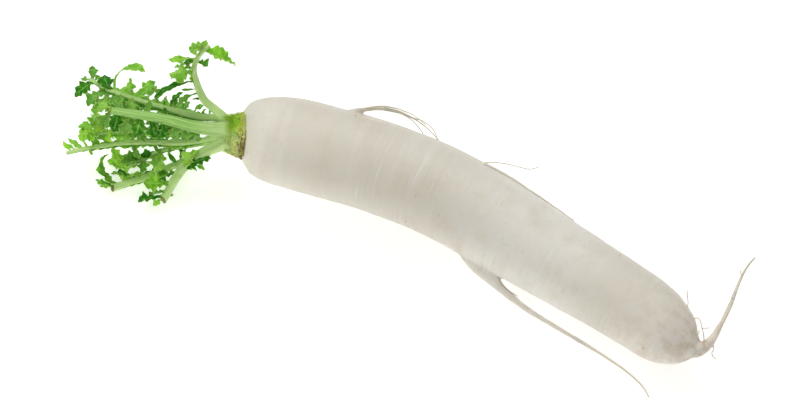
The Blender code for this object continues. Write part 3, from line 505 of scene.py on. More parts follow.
def stalk_finish():
    """Green stalk with fine lengthwise lines. tone goes from 0 to 0.4 with paleness, and is 1 on a cut.
    mark is the distance from the crown, and where on the stalk's round it is."""
    f = Finish("stalk", {
        "Subsurface Weight": 0.20, "Subsurface Radius": (0.0012, 0.0020, 0.0006),
        "Subsurface Scale": 1.0, "Specular IOR Level": 0.42,
    })
    mark, tone, spot = f.mark(), f.tone(), f.place()
    along = f.part(mark, 0)
    lines = f.clouds(f.stretched(mark, (14.0, 7.0, 7.0)), 1.0, 5.0, 0.7)
    clouds = f.clouds(spot, 130.0, 3.0)
    green = f.mix(f.rise(lines, 0.38, 0.62), (0.19, 0.45, 0.050), (0.47, 0.74, 0.24))
    green = f.mix(f.rise(tone, 0.0, 0.4) * 0.7, green, (0.68, 0.91, 0.38))
    green = f.mix(f.rise(along, 0.036, 0.0) * 0.5, green, (0.72, 0.87, 0.42))
    green = f.mix(f.rise(clouds, 0.52, 0.80) * 0.35, green, (0.20, 0.48, 0.03))
    cut = f.mix(f.rise(clouds, 0.35, 0.65), (0.09, 0.075, 0.012), (0.34, 0.33, 0.08))
    f.feed(f.shader, {
        "Base Color": f.mix(f.rise(tone, 0.5, 0.9), green, cut),
        "Roughness": 0.30 + clouds * 0.2,
        "Normal": f.bump(lines, 0.5, 0.0006),
    })
    return f.material


def leaflet_finish():
    """Leaf green with paler veins, and a painted highlight: a pale rim along the edges. mark is the
    place along in side veins, the place across from -1 to 1, and 1 on its upper face. tone tells
    light leaflets from dark ones; it holds painted shade too."""
    f = Finish("leaflet", {
        "Subsurface Weight": 0.30, "Subsurface Radius": (0.0008, 0.0018, 0.0002),
        "Subsurface Scale": 1.0, "Specular IOR Level": 0.15,
    })
    mark, tone, spot = f.mark(), f.tone(), f.place()
    across = f.maths("ABSOLUTE", f.part(mark, 1))
    clouds = f.clouds(spot, 210.0, 4.0, 0.6)
    middle = f.rise(across, 0.14, 0.04)
    beat = f.maths("PINGPONG", f.part(mark, 0) - across * 1.1 + (clouds - 0.5) * 0.25, 0.5)
    side = f.rise(beat, 0.07, 0.02) * f.rise(across, 0.98, 0.55)
    veins = f.maths("MAXIMUM", middle, side * 0.75)
    deep, light, under = (0.024, 0.180, 0.002), (0.360, 0.700, 0.060), (0.34, 0.62, 0.12)
    green = f.mix(f.rise(tone + (clouds - 0.5) * 1.1, 0.10, 0.95), deep, light)
    green = f.mix(f.part(mark, 2), f.mix(0.45, green, under), green)
    # painted highlight: a pale rim along every edge, as where light shines through the leaflet
    green = f.mix(f.rise(across, 0.84, 1.0) * 0.5, green, (0.52, 0.80, 0.20))
    f.feed(f.shader, {
        "Base Color": f.mix(veins * 0.4, green, (0.48, 0.76, 0.24)),
        "Roughness": 0.42 + clouds * 0.2,
        "Normal": f.bump(clouds * 0.5 - veins, 0.5, 0.0005),
    })
    return f.material


# ---------------------------------------------------------------- shaping


def added(name, data):
    """A new object in the scene."""
    obj = bpy.data.objects.new(name, data)
    bpy.context.scene.collection.objects.link(obj)
    return obj


def climb(value, low, high):
    """0 at low and 1 at high, straight between them. low may be the greater."""
    return min(max((value - low) / (high - low), 0), 1)


def smooth(rows, count, crowding=0.0):
    """Reads rows evenly along the smooth curve through them. Each starts with a point."""
    rows = np.array(rows, float)
    legs = np.linalg.norm(np.diff(rows[:, :3], axis=0), axis=1)[:, None]
    reach = np.concatenate([[0.0], np.cumsum(legs)])
    slope = np.diff(rows, axis=0) / legs
    inner = (slope[:-1] * legs[1:] + slope[1:] * legs[:-1]) / (legs[1:] + legs[:-1])
    lean = np.vstack([slope[:1], inner, slope[-1:]])
    share = np.linspace(0, 1, count)
    share = share - crowding * np.sin(2 * math.pi * share) / (2 * math.pi)
    at = share * reach[-1]
    leg = np.clip(np.searchsorted(reach, at, "right") - 1, 0, len(legs) - 1)
    t = ((at - reach[leg]) / legs[leg, 0])[:, None]
    from_start = rows[leg] * (1 + 2 * t) + lean[leg] * legs[leg] * t
    from_end = rows[leg + 1] * (3 - 2 * t) - lean[leg + 1] * legs[leg] * (1 - t)
    return (from_start * (1 - t) ** 2 + from_end * t**2).tolist()


def distances(rows):
    """How far each row's point is from the first, along the line through them."""
    reach = [0.0]
    for a, b in zip(rows, rows[1:]):
        reach.append(reach[-1] + (Vector(b[:3]) - Vector(a[:3])).length)
    return reach


def frames(rows, first_normal):
    """(tangent, side, normal) at each row's point, the normal carried along without twist."""
    points = [Vector(row[:3]) for row in rows]
    normal = Vector(first_normal)
    made = []
    for i in range(len(points)):
        tangent = (points[min(i + 1, len(points) - 1)] - points[max(i - 1, 0)]).normalized()
        normal = (normal - tangent * normal.dot(tangent)).normalized()
        made.append((tangent, normal.cross(tangent), normal))
    return made


class Piece:
    """A mesh being made. Each vertex has a mark and a tone, which its finish reads."""

    def __init__(self, mesh=None):
        self.bm = bmesh.new()
        if mesh:
            self.bm.from_mesh(mesh)
        self.mark = self.bm.verts.layers.float_vector.new("mark")
        self.tone = self.bm.verts.layers.float.new("tone")
        self.number = self.bm.verts.layers.int.new("number")

    def sheet(self, place, rows, columns):
        """A grid whose vertices stand where place(u, v) says, which gives a point, mark and tone."""
        made = bmesh.ops.create_grid(self.bm, x_segments=rows, y_segments=columns, size=0.5)["verts"]
        for vert in made:
            vert.co, vert[self.mark], vert[self.tone] = place(vert.co.x + 0.5, vert.co.y + 0.5)
        return made

    def turned_out(self, verts):
        faces = list(dict.fromkeys(face for vert in verts for face in vert.link_faces))
        bmesh.ops.recalc_face_normals(self.bm, faces=faces)
        return faces

    def tube(self, place, rings, sides):
        """A closed tube whose skin is place(along, round)."""
        made = self.sheet(place, rings, sides)
        bmesh.ops.remove_doubles(self.bm, verts=made, dist=WELD)
        made = [vert for vert in made if vert.is_valid]
        rims = dict.fromkeys(edge for vert in made for edge in vert.link_edges if edge.is_boundary)
        bmesh.ops.holes_fill(self.bm, edges=list(rims), sides=0)
        self.turned_out(made)

    def blade(self, place, rows, columns, thickness):
        """A thin closed blade on the surface place(along, across). Its lower face has mark z 0."""
        made = self.sheet(place, rows, columns)
        faces = self.turned_out(made)
        for number, vert in enumerate(made):
            vert.normal_update()
            vert[self.number] = number
        for vert, normal in [(vert, vert.normal.copy()) for vert in made]:
            vert.co += normal * (thickness / 2)
        lower = bmesh.ops.solidify(self.bm, geom=faces, thickness=thickness)["geom"]
        lower = [part for part in lower if isinstance(part, bmesh.types.BMVert)]
        for vert in lower:
            along, across, _ = vert[self.mark]
            vert[self.mark] = Vector((along, across, 0))
            above = made[vert[self.number]].co
            if (vert.co - above).length > 1.5 * thickness:
                vert.co = above + (vert.co - above).normalized() * thickness
        self.turned_out(made + lower)

    def mesh(self, name):
        made = bpy.data.meshes.new(name)
        self.bm.verts.layers.int.remove(self.number)
        self.bm.to_mesh(made)
        self.bm.free()
        return made

    def done(self, name, material, slot, node):
        """Adds the finished object, which rides with the radish and stands for the node."""
        mesh = self.mesh(name)
        mesh.materials.append(material)
        mesh.shade_smooth()
        obj = added(name, mesh)
        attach(obj, "root")
        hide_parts(node)


# ---------------------------------------------------------------- taproot


def body_relief(along, turn):
    """How far the skin stands out from the round, as a share of the radius: low swells and hollows.
    They fade out underneath, where the root rests."""
    swell = 0.013 * math.sin(9.0 * along + 2.0 * turn) + 0.010 * math.sin(17.0 * along - turn + 1.3)
    waist = -0.022 * math.exp(-(((along - 0.80) / 0.035) ** 2)) * max(0.0, math.cos(turn + 2.4))
    return (swell + waist) * (1 - max(0.0, -math.sin(turn)) ** 3)


def round_on(rows, axes, along, around, relief=None):
    """A point on the skin of a root through rows of centres and radii, in millimetres."""
    ring = round(along * (len(rows) - 1))
    turn = 2 * math.pi * around
    _, side, up = axes[ring]
    x, y, z, radius = rows[ring]
    if relief:
        radius *= 1 + relief(along, turn)
    return Vector((x, y, z)) + radius * (math.cos(turn) * side + math.sin(turn) * up)


def solid_root(piece, rows, first_normal, sides, relief=None):
    """Adds a root to be melted into the skin."""
    axes = frames(rows, first_normal)

    def place(along, around):
        spot = round_on(rows, axes, along, around, relief)
        spot.z = max(spot.z, LOWEST)
        return spot * MM, Vector(), 0.0

    piece.tube(place, len(rows) - 1, sides)


def melted(piece):
    """One skin around everything in the piece, eased where its parts meet."""
    obj = added("melt", piece.mesh("melt"))
    melt = obj.modifiers.new("melt", "REMESH")
    melt.mode = "VOXEL"
    melt.voxel_size = SKIN_STEP
    graph = bpy.context.evaluated_depsgraph_get()
    skin = Piece(bpy.data.meshes.new_from_object(obj.evaluated_get(graph)))
    bpy.data.objects.remove(obj)
    for _ in range(SKIN_EASING):
        bmesh.ops.smooth_vert(
            skin.bm, verts=skin.bm.verts, factor=0.5,
            use_axis_x=True, use_axis_y=True, use_axis_z=True,
        )
    return skin


def straighten(skin):
    """Marks each vertex of the skin with its place as if the root were straight, sets its tone by
    how far it stands out on a side root, and adds the small unevenness of the skin."""
    rows = smooth(TAPROOT, 260)
    axes = frames(rows, UP)
    reach = distances(rows)
    tree = KDTree(len(rows))
    for i, row in enumerate(rows):
        tree.insert(Vector(row[:3]) * MM, i)
    tree.balance()
    skin.bm.normal_update()
    for vert in skin.bm.verts:
        centre, i, _ = tree.find(vert.co)
        tangent, side, up = axes[i]
        out = vert.co - centre
        mark = Vector((reach[i] * MM + out.dot(tangent), out.dot(side), out.dot(up)))
        beyond = mark.yz.length / (rows[i][3] * MM)
        vert[skin.mark] = mark
        vert[skin.tone] = 0.14 * climb(beyond, 1.10, 1.70) + 0.20 * climb(beyond, 4.0, 7.0)
        dents = 0.00030 * noise.noise(mark * 45) + 0.00012 * noise.noise(mark * 140)
        rings = 0.00010 * noise.noise(Vector((mark.x * 330, mark.y * 16, mark.z * 16)))
        vert.co += vert.normal * (dents + rings) * climb(vert.co.z, 0.001, 0.007)


def thread(piece, rows, tones, sides, kinks=0.35):
    """Adds a thin root that wanders a little about its line."""
    count = max(8, round(distances(rows)[-1] / THREAD_STEP))
    rows = smooth(rows, count + 1)
    axes = frames(rows, THREAD_NORMAL)
    base, end = tones

    def place(along, around):
        ring = round(along * count)
        spot = round_on(rows, axes, along, around)
        here = Vector(rows[ring][:3])
        spot += kinks * min(1, 4 * along) * Vector(noise.noise_vector(here * 0.16))
        spot.z = max(spot.z, LOWEST)
        turn = 2 * math.pi * around
        axial = 0.05 + along * count * THREAD_STEP * MM
        mark = Vector((axial, 0.001 * math.cos(turn), 0.001 * math.sin(turn)))
        return spot * MM, mark, base + (end - base) * along

    piece.tube(place, count, sides)


def taproot(material):
    noise.seed_set(WANDER_SEED)
    solid = Piece()
    solid_root(solid, smooth(TAPROOT, TAPROOT_RINGS + 1, END_CROWDING), UP, TAPROOT_SIDES, body_relief)
    ends = []
    for stations, tones in (
        (TAIL, (0.16, 0.60)), (LONG_SIDE_ROOT, (0.10, 0.45)), (UPPER_SIDE_ROOT, (0.30, 0.60)),
    ):
        rows = smooth(stations, 4 * len(stations))
        split = next(i for i, row in enumerate(rows) if row[3] < THIN and i > len(rows) / 4)
        solid_root(solid, rows[: split + SHORT_OVERLAP], THREAD_NORMAL, SIDE_ROOT_SIDES)
        ends.append((rows[split - SHORT_OVERLAP :], tones))
    skin = melted(solid)
    straighten(skin)
    for rows, tones in ends:
        thread(skin, rows, tones, STRAND_SIDES, 0.25)
    for base, end, rows in ROOTLETS.values():
        thread(skin, rows, (base, end), ROOTLET_SIDES)
    skin.done("taproot_skin", material, "root_skin", "taproot")


# ---------------------------------------------------------------- crown


def crown_point(axial, front, up):
    """A point near the crown, from its foot: along its axis, to its front and up."""
    return CROWN_FOOT + CROWN_AXIS * axial + CROWN_FRONT * front + CROWN_UP * up


def crown_radius(along, turn):
    foot, end = CROWN_RADII
    ribs = 0.030 * math.sin(7 * turn + 0.6) + 0.018 * math.sin(12 * turn + 2.0)
    return (foot + (end - foot) * along**0.8) * (1 + ribs)


def withering(axial, turn):
    """How withered the crown is: most where it meets the root, and more on its front."""
    patch = noise.noise(Vector((axial * 240, 1.9 * math.cos(turn), 1.9 * math.sin(turn))))
    low = 0.20 * math.cos(turn + 0.5)
    return min(max(0.50 - axial / 0.017 + 0.35 * patch + low, 0), 0.85)


def crown_mark(axial, turn):
    return Vector((axial, 0.016 * math.cos(turn), 0.016 * math.sin(turn)))


def crown_spot(axial, turn, beyond=0.0):
    reach = crown_radius(min(max(axial / CROWN_LENGTH, 0), 1), turn) + beyond
    return crown_point(axial, reach * math.cos(turn), reach * math.sin(turn))


def crown_collar(piece):
    """The crown's body, ragged and pitted, with a low dome on its end."""
    dome = 0.70  # share of the rings on the side

    def place(along, around):
        turn = 2 * math.pi * around
        share = min(along / dome, 1)
        inward = max(along - dome, 0) / (1 - dome)
        axial = SEAM + (CROWN_LENGTH - SEAM) * share + 0.0030 * math.sin(math.pi / 2 * inward)
        lumps = noise.noise(Vector((3 * math.cos(turn), 3 * math.sin(turn), axial * 170)))
        grain = noise.noise(Vector((13 * math.cos(turn), 13 * math.sin(turn), axial * 620)))
        rim = 0.0012 * share**6
        ragged = 0.0006 * lumps + 0.00035 * grain
        reach = (crown_radius(share, turn) + ragged - rim) * (1 - 0.97 * inward**1.6)
        spot = crown_point(axial, reach * math.cos(turn), reach * math.sin(turn))
        return spot, crown_mark(axial, turn), withering(axial, turn) + 0.25 * lumps

    piece.tube(place, CROWN_RINGS, CROWN_SIDES)


def crown_scales(piece, draw):
    """Papery stubs of shed leaves, which hug the crown with ragged tips."""
    for index in range(SCALES):
        turn = 2 * math.pi * (index / SCALES + draw.uniform(-0.03, 0.03))
        start = draw.uniform(0.0002, 0.0040)
        length, width = draw.uniform(0.0030, 0.0058), draw.uniform(0.0022, 0.0048)
        lift, dry, rag = draw.uniform(0.0002, 0.0012), draw.uniform(-0.2, 0.3), draw.uniform(0, 9)

        def place(along, across):
            jagged = 1 - 0.45 * abs(math.sin(9 * across + rag)) * along
            axial = start + length * along * jagged
            here = turn + (across - 0.5) * width * (1 - 0.7 * along**1.4) / CROWN_RADII[0]
            spot = crown_spot(axial, here, 0.0001 + lift * along**1.5)
            return spot, crown_mark(axial, here), withering(axial, here) + dry + 0.4 * along**3

        piece.blade(place, 8, 8, SCALE_THICKNESS)


def crown_fibres(piece, draw):
    """Short fibres that lie forward like a soft fur, longest where the stalks come out."""
    for index in range(FIBRES):
        rim = index % 5 < 2
        turn = draw.uniform(0, 2 * math.pi)
        start = CROWN_LENGTH * (draw.uniform(0.78, 1.02) if rim else draw.random() ** 0.8)
        length = draw.uniform(0.0024, 0.0062) if rim else draw.uniform(0.0014, 0.0036)
        radius = draw.uniform(0.00010, 0.00024)
        sideways = draw.uniform(-0.6, 0.6)
        top = max(0.5 * math.sin(turn) - 0.86 * math.cos(turn), 0)
        outward = draw.uniform(-0.45, 0.12) + 0.45 * top if rim else draw.uniform(-0.05, 0.32) + 0.25 * top
        dry = draw.uniform(-0.25, 0.30)
        out = CROWN_FRONT * math.cos(turn) + CROWN_UP * math.sin(turn)
        beside = CROWN_UP * math.cos(turn) - CROWN_FRONT * math.sin(turn)
        foot = crown_spot(start, turn, -0.0012 if rim else -0.0003)

        def place(along, around):
            here = 2 * math.pi * around
            way = CROWN_AXIS * along + beside * sideways * along**1.5 + out * outward * along
            thin = radius * (1 - 0.7 * along)
            spot = foot + way * length + (out * math.cos(here) + beside * math.sin(here)) * thin
            return spot, crown_mark(start, turn), withering(start, turn) + dry

        piece.tube(place, 3, 4)


def crown_strands(piece, draw):
    """Dry strands that run round the crown beside the root, some of them over its shoulder."""
    for _ in range(STRANDS):
        turn = draw.uniform(0, 2 * math.pi)
        start = 0.0044 * draw.random() ** 1.5
        arc, drift = draw.choice((-1, 1)) * draw.uniform(0.10, 0.50), draw.uniform(-0.0014, 0.0018)
        radius, lift = draw.uniform(0.00012, 0.00032), draw.uniform(0.0000, 0.0008)
        wander = draw.uniform(0, 50)
        brown = 0.58 + 0.20 * math.cos(turn + 0.5) + draw.uniform(-0.14, 0.10)
        pale = draw.random() < (0.55 if start > 0.0016 else 0.08)
        tone = draw.uniform(0.92, 1.1) if pale else brown

        def place(along, around):
            here = turn + arc * along
            shaky = 0.0006 * noise.noise(Vector((here * 6, wander, 0)))
            axial = max(start + drift * along + shaky, 0.0002)
            thick = radius * (1.15 - 0.8 * abs(2 * along - 1) ** 3)
            turned = 2 * math.pi * around
            spot = crown_spot(axial, here, lift * math.sin(math.pi * along) + thick * math.cos(turned))
            spot += CROWN_AXIS * thick * math.sin(turned)
            return spot, crown_mark(axial, here), tone

        piece.tube(place, 12, 5)


def crown(material):
    draw = random.Random("crown")
    piece = Piece()
    crown_collar(piece)
    crown_scales(piece, draw)
    crown_fibres(piece, draw)
    crown_strands(piece, draw)
    piece.done("crown_collar", material, "crown", "crown")


# ---------------------------------------------------------------- leaves


@dataclass
class Leaflet:
    """One leaflet: where it leaves the rib, its direction, its bends in radians and its shape."""

    root: Vector
    heading: float
    pitch: float
    roll: float
    length: float
    width: float
    sweep: float
    droop: float
    twist: float
    peak: float  # how far along it is widest
    cup: float  # how high its edges stand above its vein, as a share of its half width
    wave: float  # phase of the waves along its edges
    depth: float  # how deep its teeth are, as a share of its half width

    def spine(self):
        """(point, side, look) along its vein."""
        ahead = Vector((math.cos(self.heading), math.sin(self.heading), 0)) * math.cos(self.pitch)
        ahead.z = math.sin(self.pitch)
        flat = Vector((-math.sin(self.heading), math.cos(self.heading), 0))
        look = ahead.cross(flat)
        look = look * math.cos(self.roll) + flat * math.sin(self.roll)
        side = look.cross(ahead)
        point = self.root.copy()
        made = []
        for step in range(SPINE_STEPS + 1):
            turn = self.sweep * step / SPINE_STEPS
            bend = self.droop * step / SPINE_STEPS
            level = ahead * math.cos(turn) + side * math.sin(turn)
            here = level * math.cos(bend) - look * math.sin(bend)
            up = look * math.cos(bend) + level * math.sin(bend)
            lean = self.twist * step / SPINE_STEPS
            up = up * math.cos(lean) + up.cross(here) * math.sin(lean)
            made.append((point.copy(), up.cross(here), up))
            point += here * self.length / SPINE_STEPS
        return made

    def teeth(self):
        """How many teeth it has on each side."""
        return 0 if self.width < 0.0040 else min(max(round(self.length / 0.0060), 2), 3)

    def stations(self):
        """Shares of its length at its foot, at each tooth, by turns on either side, and at its tip,
        or four shares if it has no teeth."""
        steps = 2 * self.teeth() + 1
        return [step / steps for step in range(steps + 1)] if steps > 1 else [0.0, 0.3, 0.65, 1.0]

    def tooth(self, share, across):
        """0 in the notches of the edge on that side of the vein, and 1 on its teeth."""
        steps = 2 * self.teeth() + 1
        beat = (share * steps + (0.24 if across < 0 else 1.24)) / 2 % 1
        return beat / 0.62 if beat < 0.62 else (1 - beat) / 0.38

    def half_width(self, share, across):
        """The outline, with teeth that point forward, by turns on either side."""
        power = math.log(0.5) / math.log(self.peak)
        outline = max(math.sin(math.pi * min(share, 1) ** power), 0) ** 0.85
        outline = max(outline, 0.36 * (1 - share), 0.04)
        depth = min(self.depth, 5 * share, 3 * (1 - share)) if self.teeth() else 0
        return 0.5 * self.width * outline * (1 + depth * (self.tooth(share, across) - 0.50))

    def place(self, share, across, spine):
        """A point on its middle surface, share of the way along and -1 to 1 across."""
        at = min(share, 1) * SPINE_STEPS
        step = min(int(at), SPINE_STEPS - 1)
        point, side, look = (a.lerp(b, at - step) for a, b in zip(spine[step], spine[step + 1]))
        half = self.half_width(share, across)
        ripple = 0.22 * self.width * math.sin(10 * share + self.wave) * math.sin(math.pi * share)
        rise = self.cup * half * abs(across) ** 1.5 + ripple * across * abs(across)
        spot = point + across * half * side + rise * look
        spot.z = max(spot.z, FLOOR)
        return spot


def solid_sheet(leaflet, thickness):
    """A plain form of the leaflet, to keep the leaves clear of each other."""
    stations = leaflet.stations()
    spine = leaflet.spine()
    rows = len(stations) - 1

    def place(along, across):
        spot = leaflet.place(stations[round(along * rows)], 2 * across - 1, spine)
        return spot, Vector(), 0.0

    piece = Piece()
    piece.blade(place, rows, 2, thickness)
    return piece


def tree_of(piece):
    tree = BVHTree.FromBMesh(piece.bm)
    piece.bm.free()
    return tree


def leaf_rows(leaf):
    """Rows of centre, half width and half thickness along the stalk, in metres."""
    front, up = leaf.seat
    foot = crown_point(CROWN_LENGTH + SEAM, front * MM, up * MM)
    after = foot + CROWN_AXIS * 0.003
    points = [foot, after] + [Vector(p) * MM for p in leaf.route]
    width, thickness, end_width, end_thickness = (0.5 * MM * size for size in leaf.stalk)
    rows = []
    for i, point in enumerate(points):
        share = i / (len(points) - 1)
        half = width + (end_width - width) * share
        deep = thickness + (end_thickness - thickness) * share
        rows.append((*point, half, deep))
    return rows


def solid_stalk(leaf):
    """A plain form of the stalk, to keep the leaves clear of each other."""
    rings = 4 + 2 * len(leaf.route)
    rows = smooth(leaf_rows(leaf), rings + 1)
    axes = frames(rows, UP)

    def place(along, around):
        ring = round(along * rings)
        turn = 2 * math.pi * around
        _, side, look = axes[ring]
        half, deep = rows[ring][3:]
        spot = Vector(rows[ring][:3]) + half * math.cos(turn) * side + deep * math.sin(turn) * look
        spot.z = max(spot.z, FLOOR / 2)
        return spot, Vector(), 0.0

    piece = Piece()
    piece.tube(place, rings, STALK_SIDES)
    return piece


def fine_rows(leaf):
    """Rows of the stalk from inside the crown to its end, their axes and their distances."""
    foot_depth = 0.0022
    rows = leaf_rows(leaf)
    start = Vector(rows[0][:3]) - CROWN_AXIS * foot_depth
    rows = smooth([(*start, *rows[0][3:])] + rows, FINE_STALK_RINGS + 1)
    return rows, frames(rows, UP), distances(rows)


def fine_stalk(leaf, material):
    """The stalk with its lengthwise ribs, a channel along its top, and its foot set in the crown."""
    draw = random.Random(leaf.name + " stalk")
    rows, axes, reach = fine_rows(leaf)
    phases = [draw.uniform(0, 6.28) for _ in range(3)]
    caps = ((1.0, 0.0), (0.90, 0.00022), (0.62, -0.0004), (0.25, -0.0010)) if leaf.cut else (
        (0.85, 0.0002), (0.45, 0.0005), (0.1, 0.0006))
    last = FINE_STALK_RINGS
    rings = last + len(caps)

    def place(along, around):
        step = round(along * rings)
        ring = min(step, last)
        shrink, beyond = caps[step - last - 1] if step > last else (1.0, 0.0)
        turn = 2 * math.pi * around
        tangent, side, look = axes[ring]
        half, deep = rows[ring][3:]
        share = ring / last
        flare = 1 + 0.14 * math.exp(-reach[ring] / 0.007)
        if leaf.cut:
            flare += 0.05 * math.exp(-(reach[last] - reach[ring]) / 0.004)
        ribs = 1 + 0.028 * math.cos(11 * turn + phases[0]) + 0.016 * math.cos(19 * turn + phases[1])
        channel = 1 - 0.34 * max(math.sin(turn), 0) ** 6 * (1 - 0.5 * share)
        here = Vector((reach[ring] * 120, math.cos(turn) + phases[2], math.sin(turn)))
        size = flare * ribs * (1 + 0.03 * noise.noise(here)) * shrink
        rise = size * deep * channel * math.sin(turn)
        slant = max(0, 1 - (reach[last] - reach[ring]) / 0.012) if leaf.cut else 0
        spot = Vector(rows[ring][:3]) + tangent * (beyond - 0.75 * slant * rise)
        spot += size * half * math.cos(turn) * side + rise * look
        spot.z = max(spot.z, FLOOR / 2)
        mark = Vector((reach[ring], math.cos(turn), math.sin(turn)))
        return spot, mark, 1.0 if leaf.cut and step > last + 1 else 0.4 * leaf.pale

    piece = Piece()
    piece.tube(place, rings, FINE_STALK_SIDES)
    piece.done(leaf.name + "_stalk", material, "leaf", leaf.name)


def wings(piece, leaf, draw):
    """Adds the thin ragged tissue along both sides of the rib, between the leaflets."""
    start, end, width = leaf.wing
    if not width:
        return
    rows, axes, reach = fine_rows(leaf)
    last = FINE_STALK_RINGS
    for sign in (-1, 1):
        phase, droop, tone = draw.uniform(0, 50), draw.uniform(-0.4, 0.2), draw.uniform(0.15, 0.55)

        def place(along, across):
            at = (start + (end - start) * along) * last
            ring = min(int(at), last - 1)
            first, second = (Vector(rows[i][:3]) for i in (ring, ring + 1))
            _, side, look = axes[ring]
            half = rows[ring][3]
            here = reach[ring] + (reach[ring + 1] - reach[ring]) * (at - ring)
            saw = (here * 150 + phase + 0.8 * noise.noise(Vector((here * 60, phase, 0)))) % 1
            saw = saw / 0.7 if saw < 0.7 else (1 - saw) / 0.3
            big = 0.5 + 0.5 * noise.noise(Vector((here * 45, 0, phase)))
            fade = min(1, 4 * along, 4 * (1 - along))
            out = width * MM * across * fade * (0.30 + 1.1 * big * saw)
            spot = first.lerp(second, at - ring) + sign * side * (0.80 * half + out)
            spot += look * out * (droop + 0.5 * math.sin(here * 190 + phase))
            spot.z = max(spot.z, FLOOR / 2)
            return spot, Vector((here * 60, 0.3 + 0.7 * across, 1)), tone

        piece.blade(place, WING_ROWS, WING_COLUMNS, FINE_BLADE)


def leaflets_of(leaf):
    """The leaf's leaflets before they are kept clear of the other leaves."""
    draw = random.Random(leaf.name)
    count = 100
    rows = smooth(leaf_rows(leaf), count + 1)
    made = []
    for share, heading, pitch, length, width, sweep, droop, *looks in leaf.leaflets:
        x, y, z, half, deep = rows[min(round(share * count), count - 1)]
        drawn = draw.uniform(0.45, 0.85), draw.uniform(-26, 26), draw.uniform(-60, 60)
        depth, roll, twist, *widest = looks or drawn
        peak = draw.uniform(0.46, 0.72)
        heading, pitch, sweep, droop = (math.radians(v) for v in (heading, pitch, sweep, droop))
        inset = 0.75 * half
        root = (x + inset * math.cos(heading), y + inset * math.sin(heading), z)
        made.append(
            Leaflet(
                root=Vector(root) + UP * (0.8 * deep * math.sin(pitch)),
                heading=heading,
                pitch=pitch,
                roll=math.radians(roll),
                length=length * MM,
                width=width * MM,
                sweep=sweep,
                droop=droop,
                twist=math.radians(twist),
                peak=widest[0] if widest else peak,
                cup=draw.uniform(-0.60, 0.80),
                wave=draw.uniform(0, 6.28),
                depth=depth,
            )
        )
    return made


def kept_clear(leaflet, obstacles):
    """The leaflet, lifted, lowered or shortened until it touches no obstacle, or None."""
    for shrink in (1.0, 0.75, 0.5):
        for lift in LIFTS:
            tried = replace(
                leaflet,
                pitch=leaflet.pitch + math.radians(lift),
                length=leaflet.length * shrink,
                width=leaflet.width * shrink**0.5,
            )
            tree = tree_of(solid_sheet(tried, BLADE + 2 * CLEARANCE))
            if not any(tree.overlap(other) for other in obstacles):
                return tried
    return None


def fine_blade(piece, leaflet, draw):
    """Adds the leaflet with its small teeth, its veins sunk in its upper face and its frilled edge."""
    spine = leaflet.spine()
    teeth = leaflet.teeth()
    rows = BLADE_ROWS * max(teeth, 1)
    veins = max(teeth, 2) * 1.5
    x, _, z = leaflet.root
    far = climb(x, -0.238, -0.288)
    upper = min(climb(z, 0.042, 0.052), climb(z, 0.074, 0.064))
    inner = min(climb(x, -0.262, -0.232), climb(z, 0.022, 0.027))
    # painted shade: leaflets in the upper mass, and those among the stalks near the crown, are made
    # darker; those far out and those above ARCH_HEIGHT are lighter
    tone = draw.uniform(0.05, 0.90) + 0.50 * far - 0.50 * upper - 0.40 * inner
    if z > ARCH_HEIGHT:
        tone += 0.3
    frill, small = draw.uniform(0, 6.28), draw.uniform(0, 50)

    def place(along, across):
        side = 2 * across - 1
        side = math.copysign(abs(side) ** 1.25, side)
        edge = abs(side)
        lean = 0.055 * edge * leaflet.tooth(along, side) if teeth else 0.03 * edge
        share = min(along + lean * math.sin(math.pi * along), 1)
        spot = leaflet.place(share, side, spine)
        at = min(share * SPINE_STEPS, SPINE_STEPS - 0.001)
        _, flat, look = (a.lerp(b, at % 1) for a, b in zip(spine[int(at)], spine[int(at) + 1]))
        half = leaflet.half_width(share, side)
        nick = (along * leaflet.length * 620 + small + math.copysign(0.3, side)) % 1
        spot += flat * math.copysign((0.22 * (nick - 0.5)) * edge**4 * half, side)
        curl = 0.12 * leaflet.width * math.sin(leaflet.length * 1500 * along + frill) * edge**2
        crumple = noise.noise(spot * 190) * (0.4 + edge) + 0.4 * noise.noise(spot * 480)
        curl += 0.0016 * crumple * min(1, leaflet.width / 0.007)
        sunk = -0.00018 * math.exp(-((side / 0.10) ** 2))
        beat = (along * veins - edge * 1.1) % 1
        sunk -= 0.00014 * (1 - math.exp(-(((beat - 0.5) / 0.2) ** 2))) * min(1, 4 * (1 - edge))
        spot += look * (curl * min(1, 5 * along) + sunk)
        spot.z = max(spot.z, FLOOR / 2)
        return spot, Vector((along * veins, side, 1)), tone

    piece.blade(place, rows, BLADE_COLUMNS, FINE_BLADE)


def leaves(stalk_material, leaflet_material):
    """Every leaf: the stalks first, then the leaflets, each clear of the other leaves."""
    trees = {leaf.name: [tree_of(solid_stalk(leaf))] for leaf in LEAVES}
    fixed = []
    for node in ("taproot", "crown"):
        fixed.append(tree_of(Piece(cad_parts[node].data)))
    for leaf in LEAVES:
        fine_stalk(leaf, stalk_material)
        others = [tree for name, known in trees.items() if name != leaf.name for tree in known]
        draw = random.Random(leaf.name + " blades")
        piece = Piece()
        wings(piece, leaf, draw)
        kept = []
        for wanted in leaflets_of(leaf):
            leaflet = kept_clear(wanted, fixed + others)
            if leaflet is None:
                continue
            kept.append(tree_of(solid_sheet(leaflet, BLADE)))
            fine_blade(piece, leaflet, draw)
        trees[leaf.name] += kept
        piece.done(leaf.name + "_leaflets", leaflet_material, "leaf", leaf.name)


# ---------------------------------------------------------------- floor, light and camera

VIEW_AZIMUTH, VIEW_ELEVATION = math.radians(27.5), math.radians(60)
VIEW_TARGET = Vector((-48.68, -20.21, 37.63)) * MM
VIEW_DISTANCE = 1.667


def direction(azimuth, elevation):
    """Towards the camera of a view. Azimuth 0 looks along +Y."""
    level = math.cos(elevation)
    return Vector((math.sin(azimuth) * level, -math.cos(azimuth) * level, math.sin(elevation)))


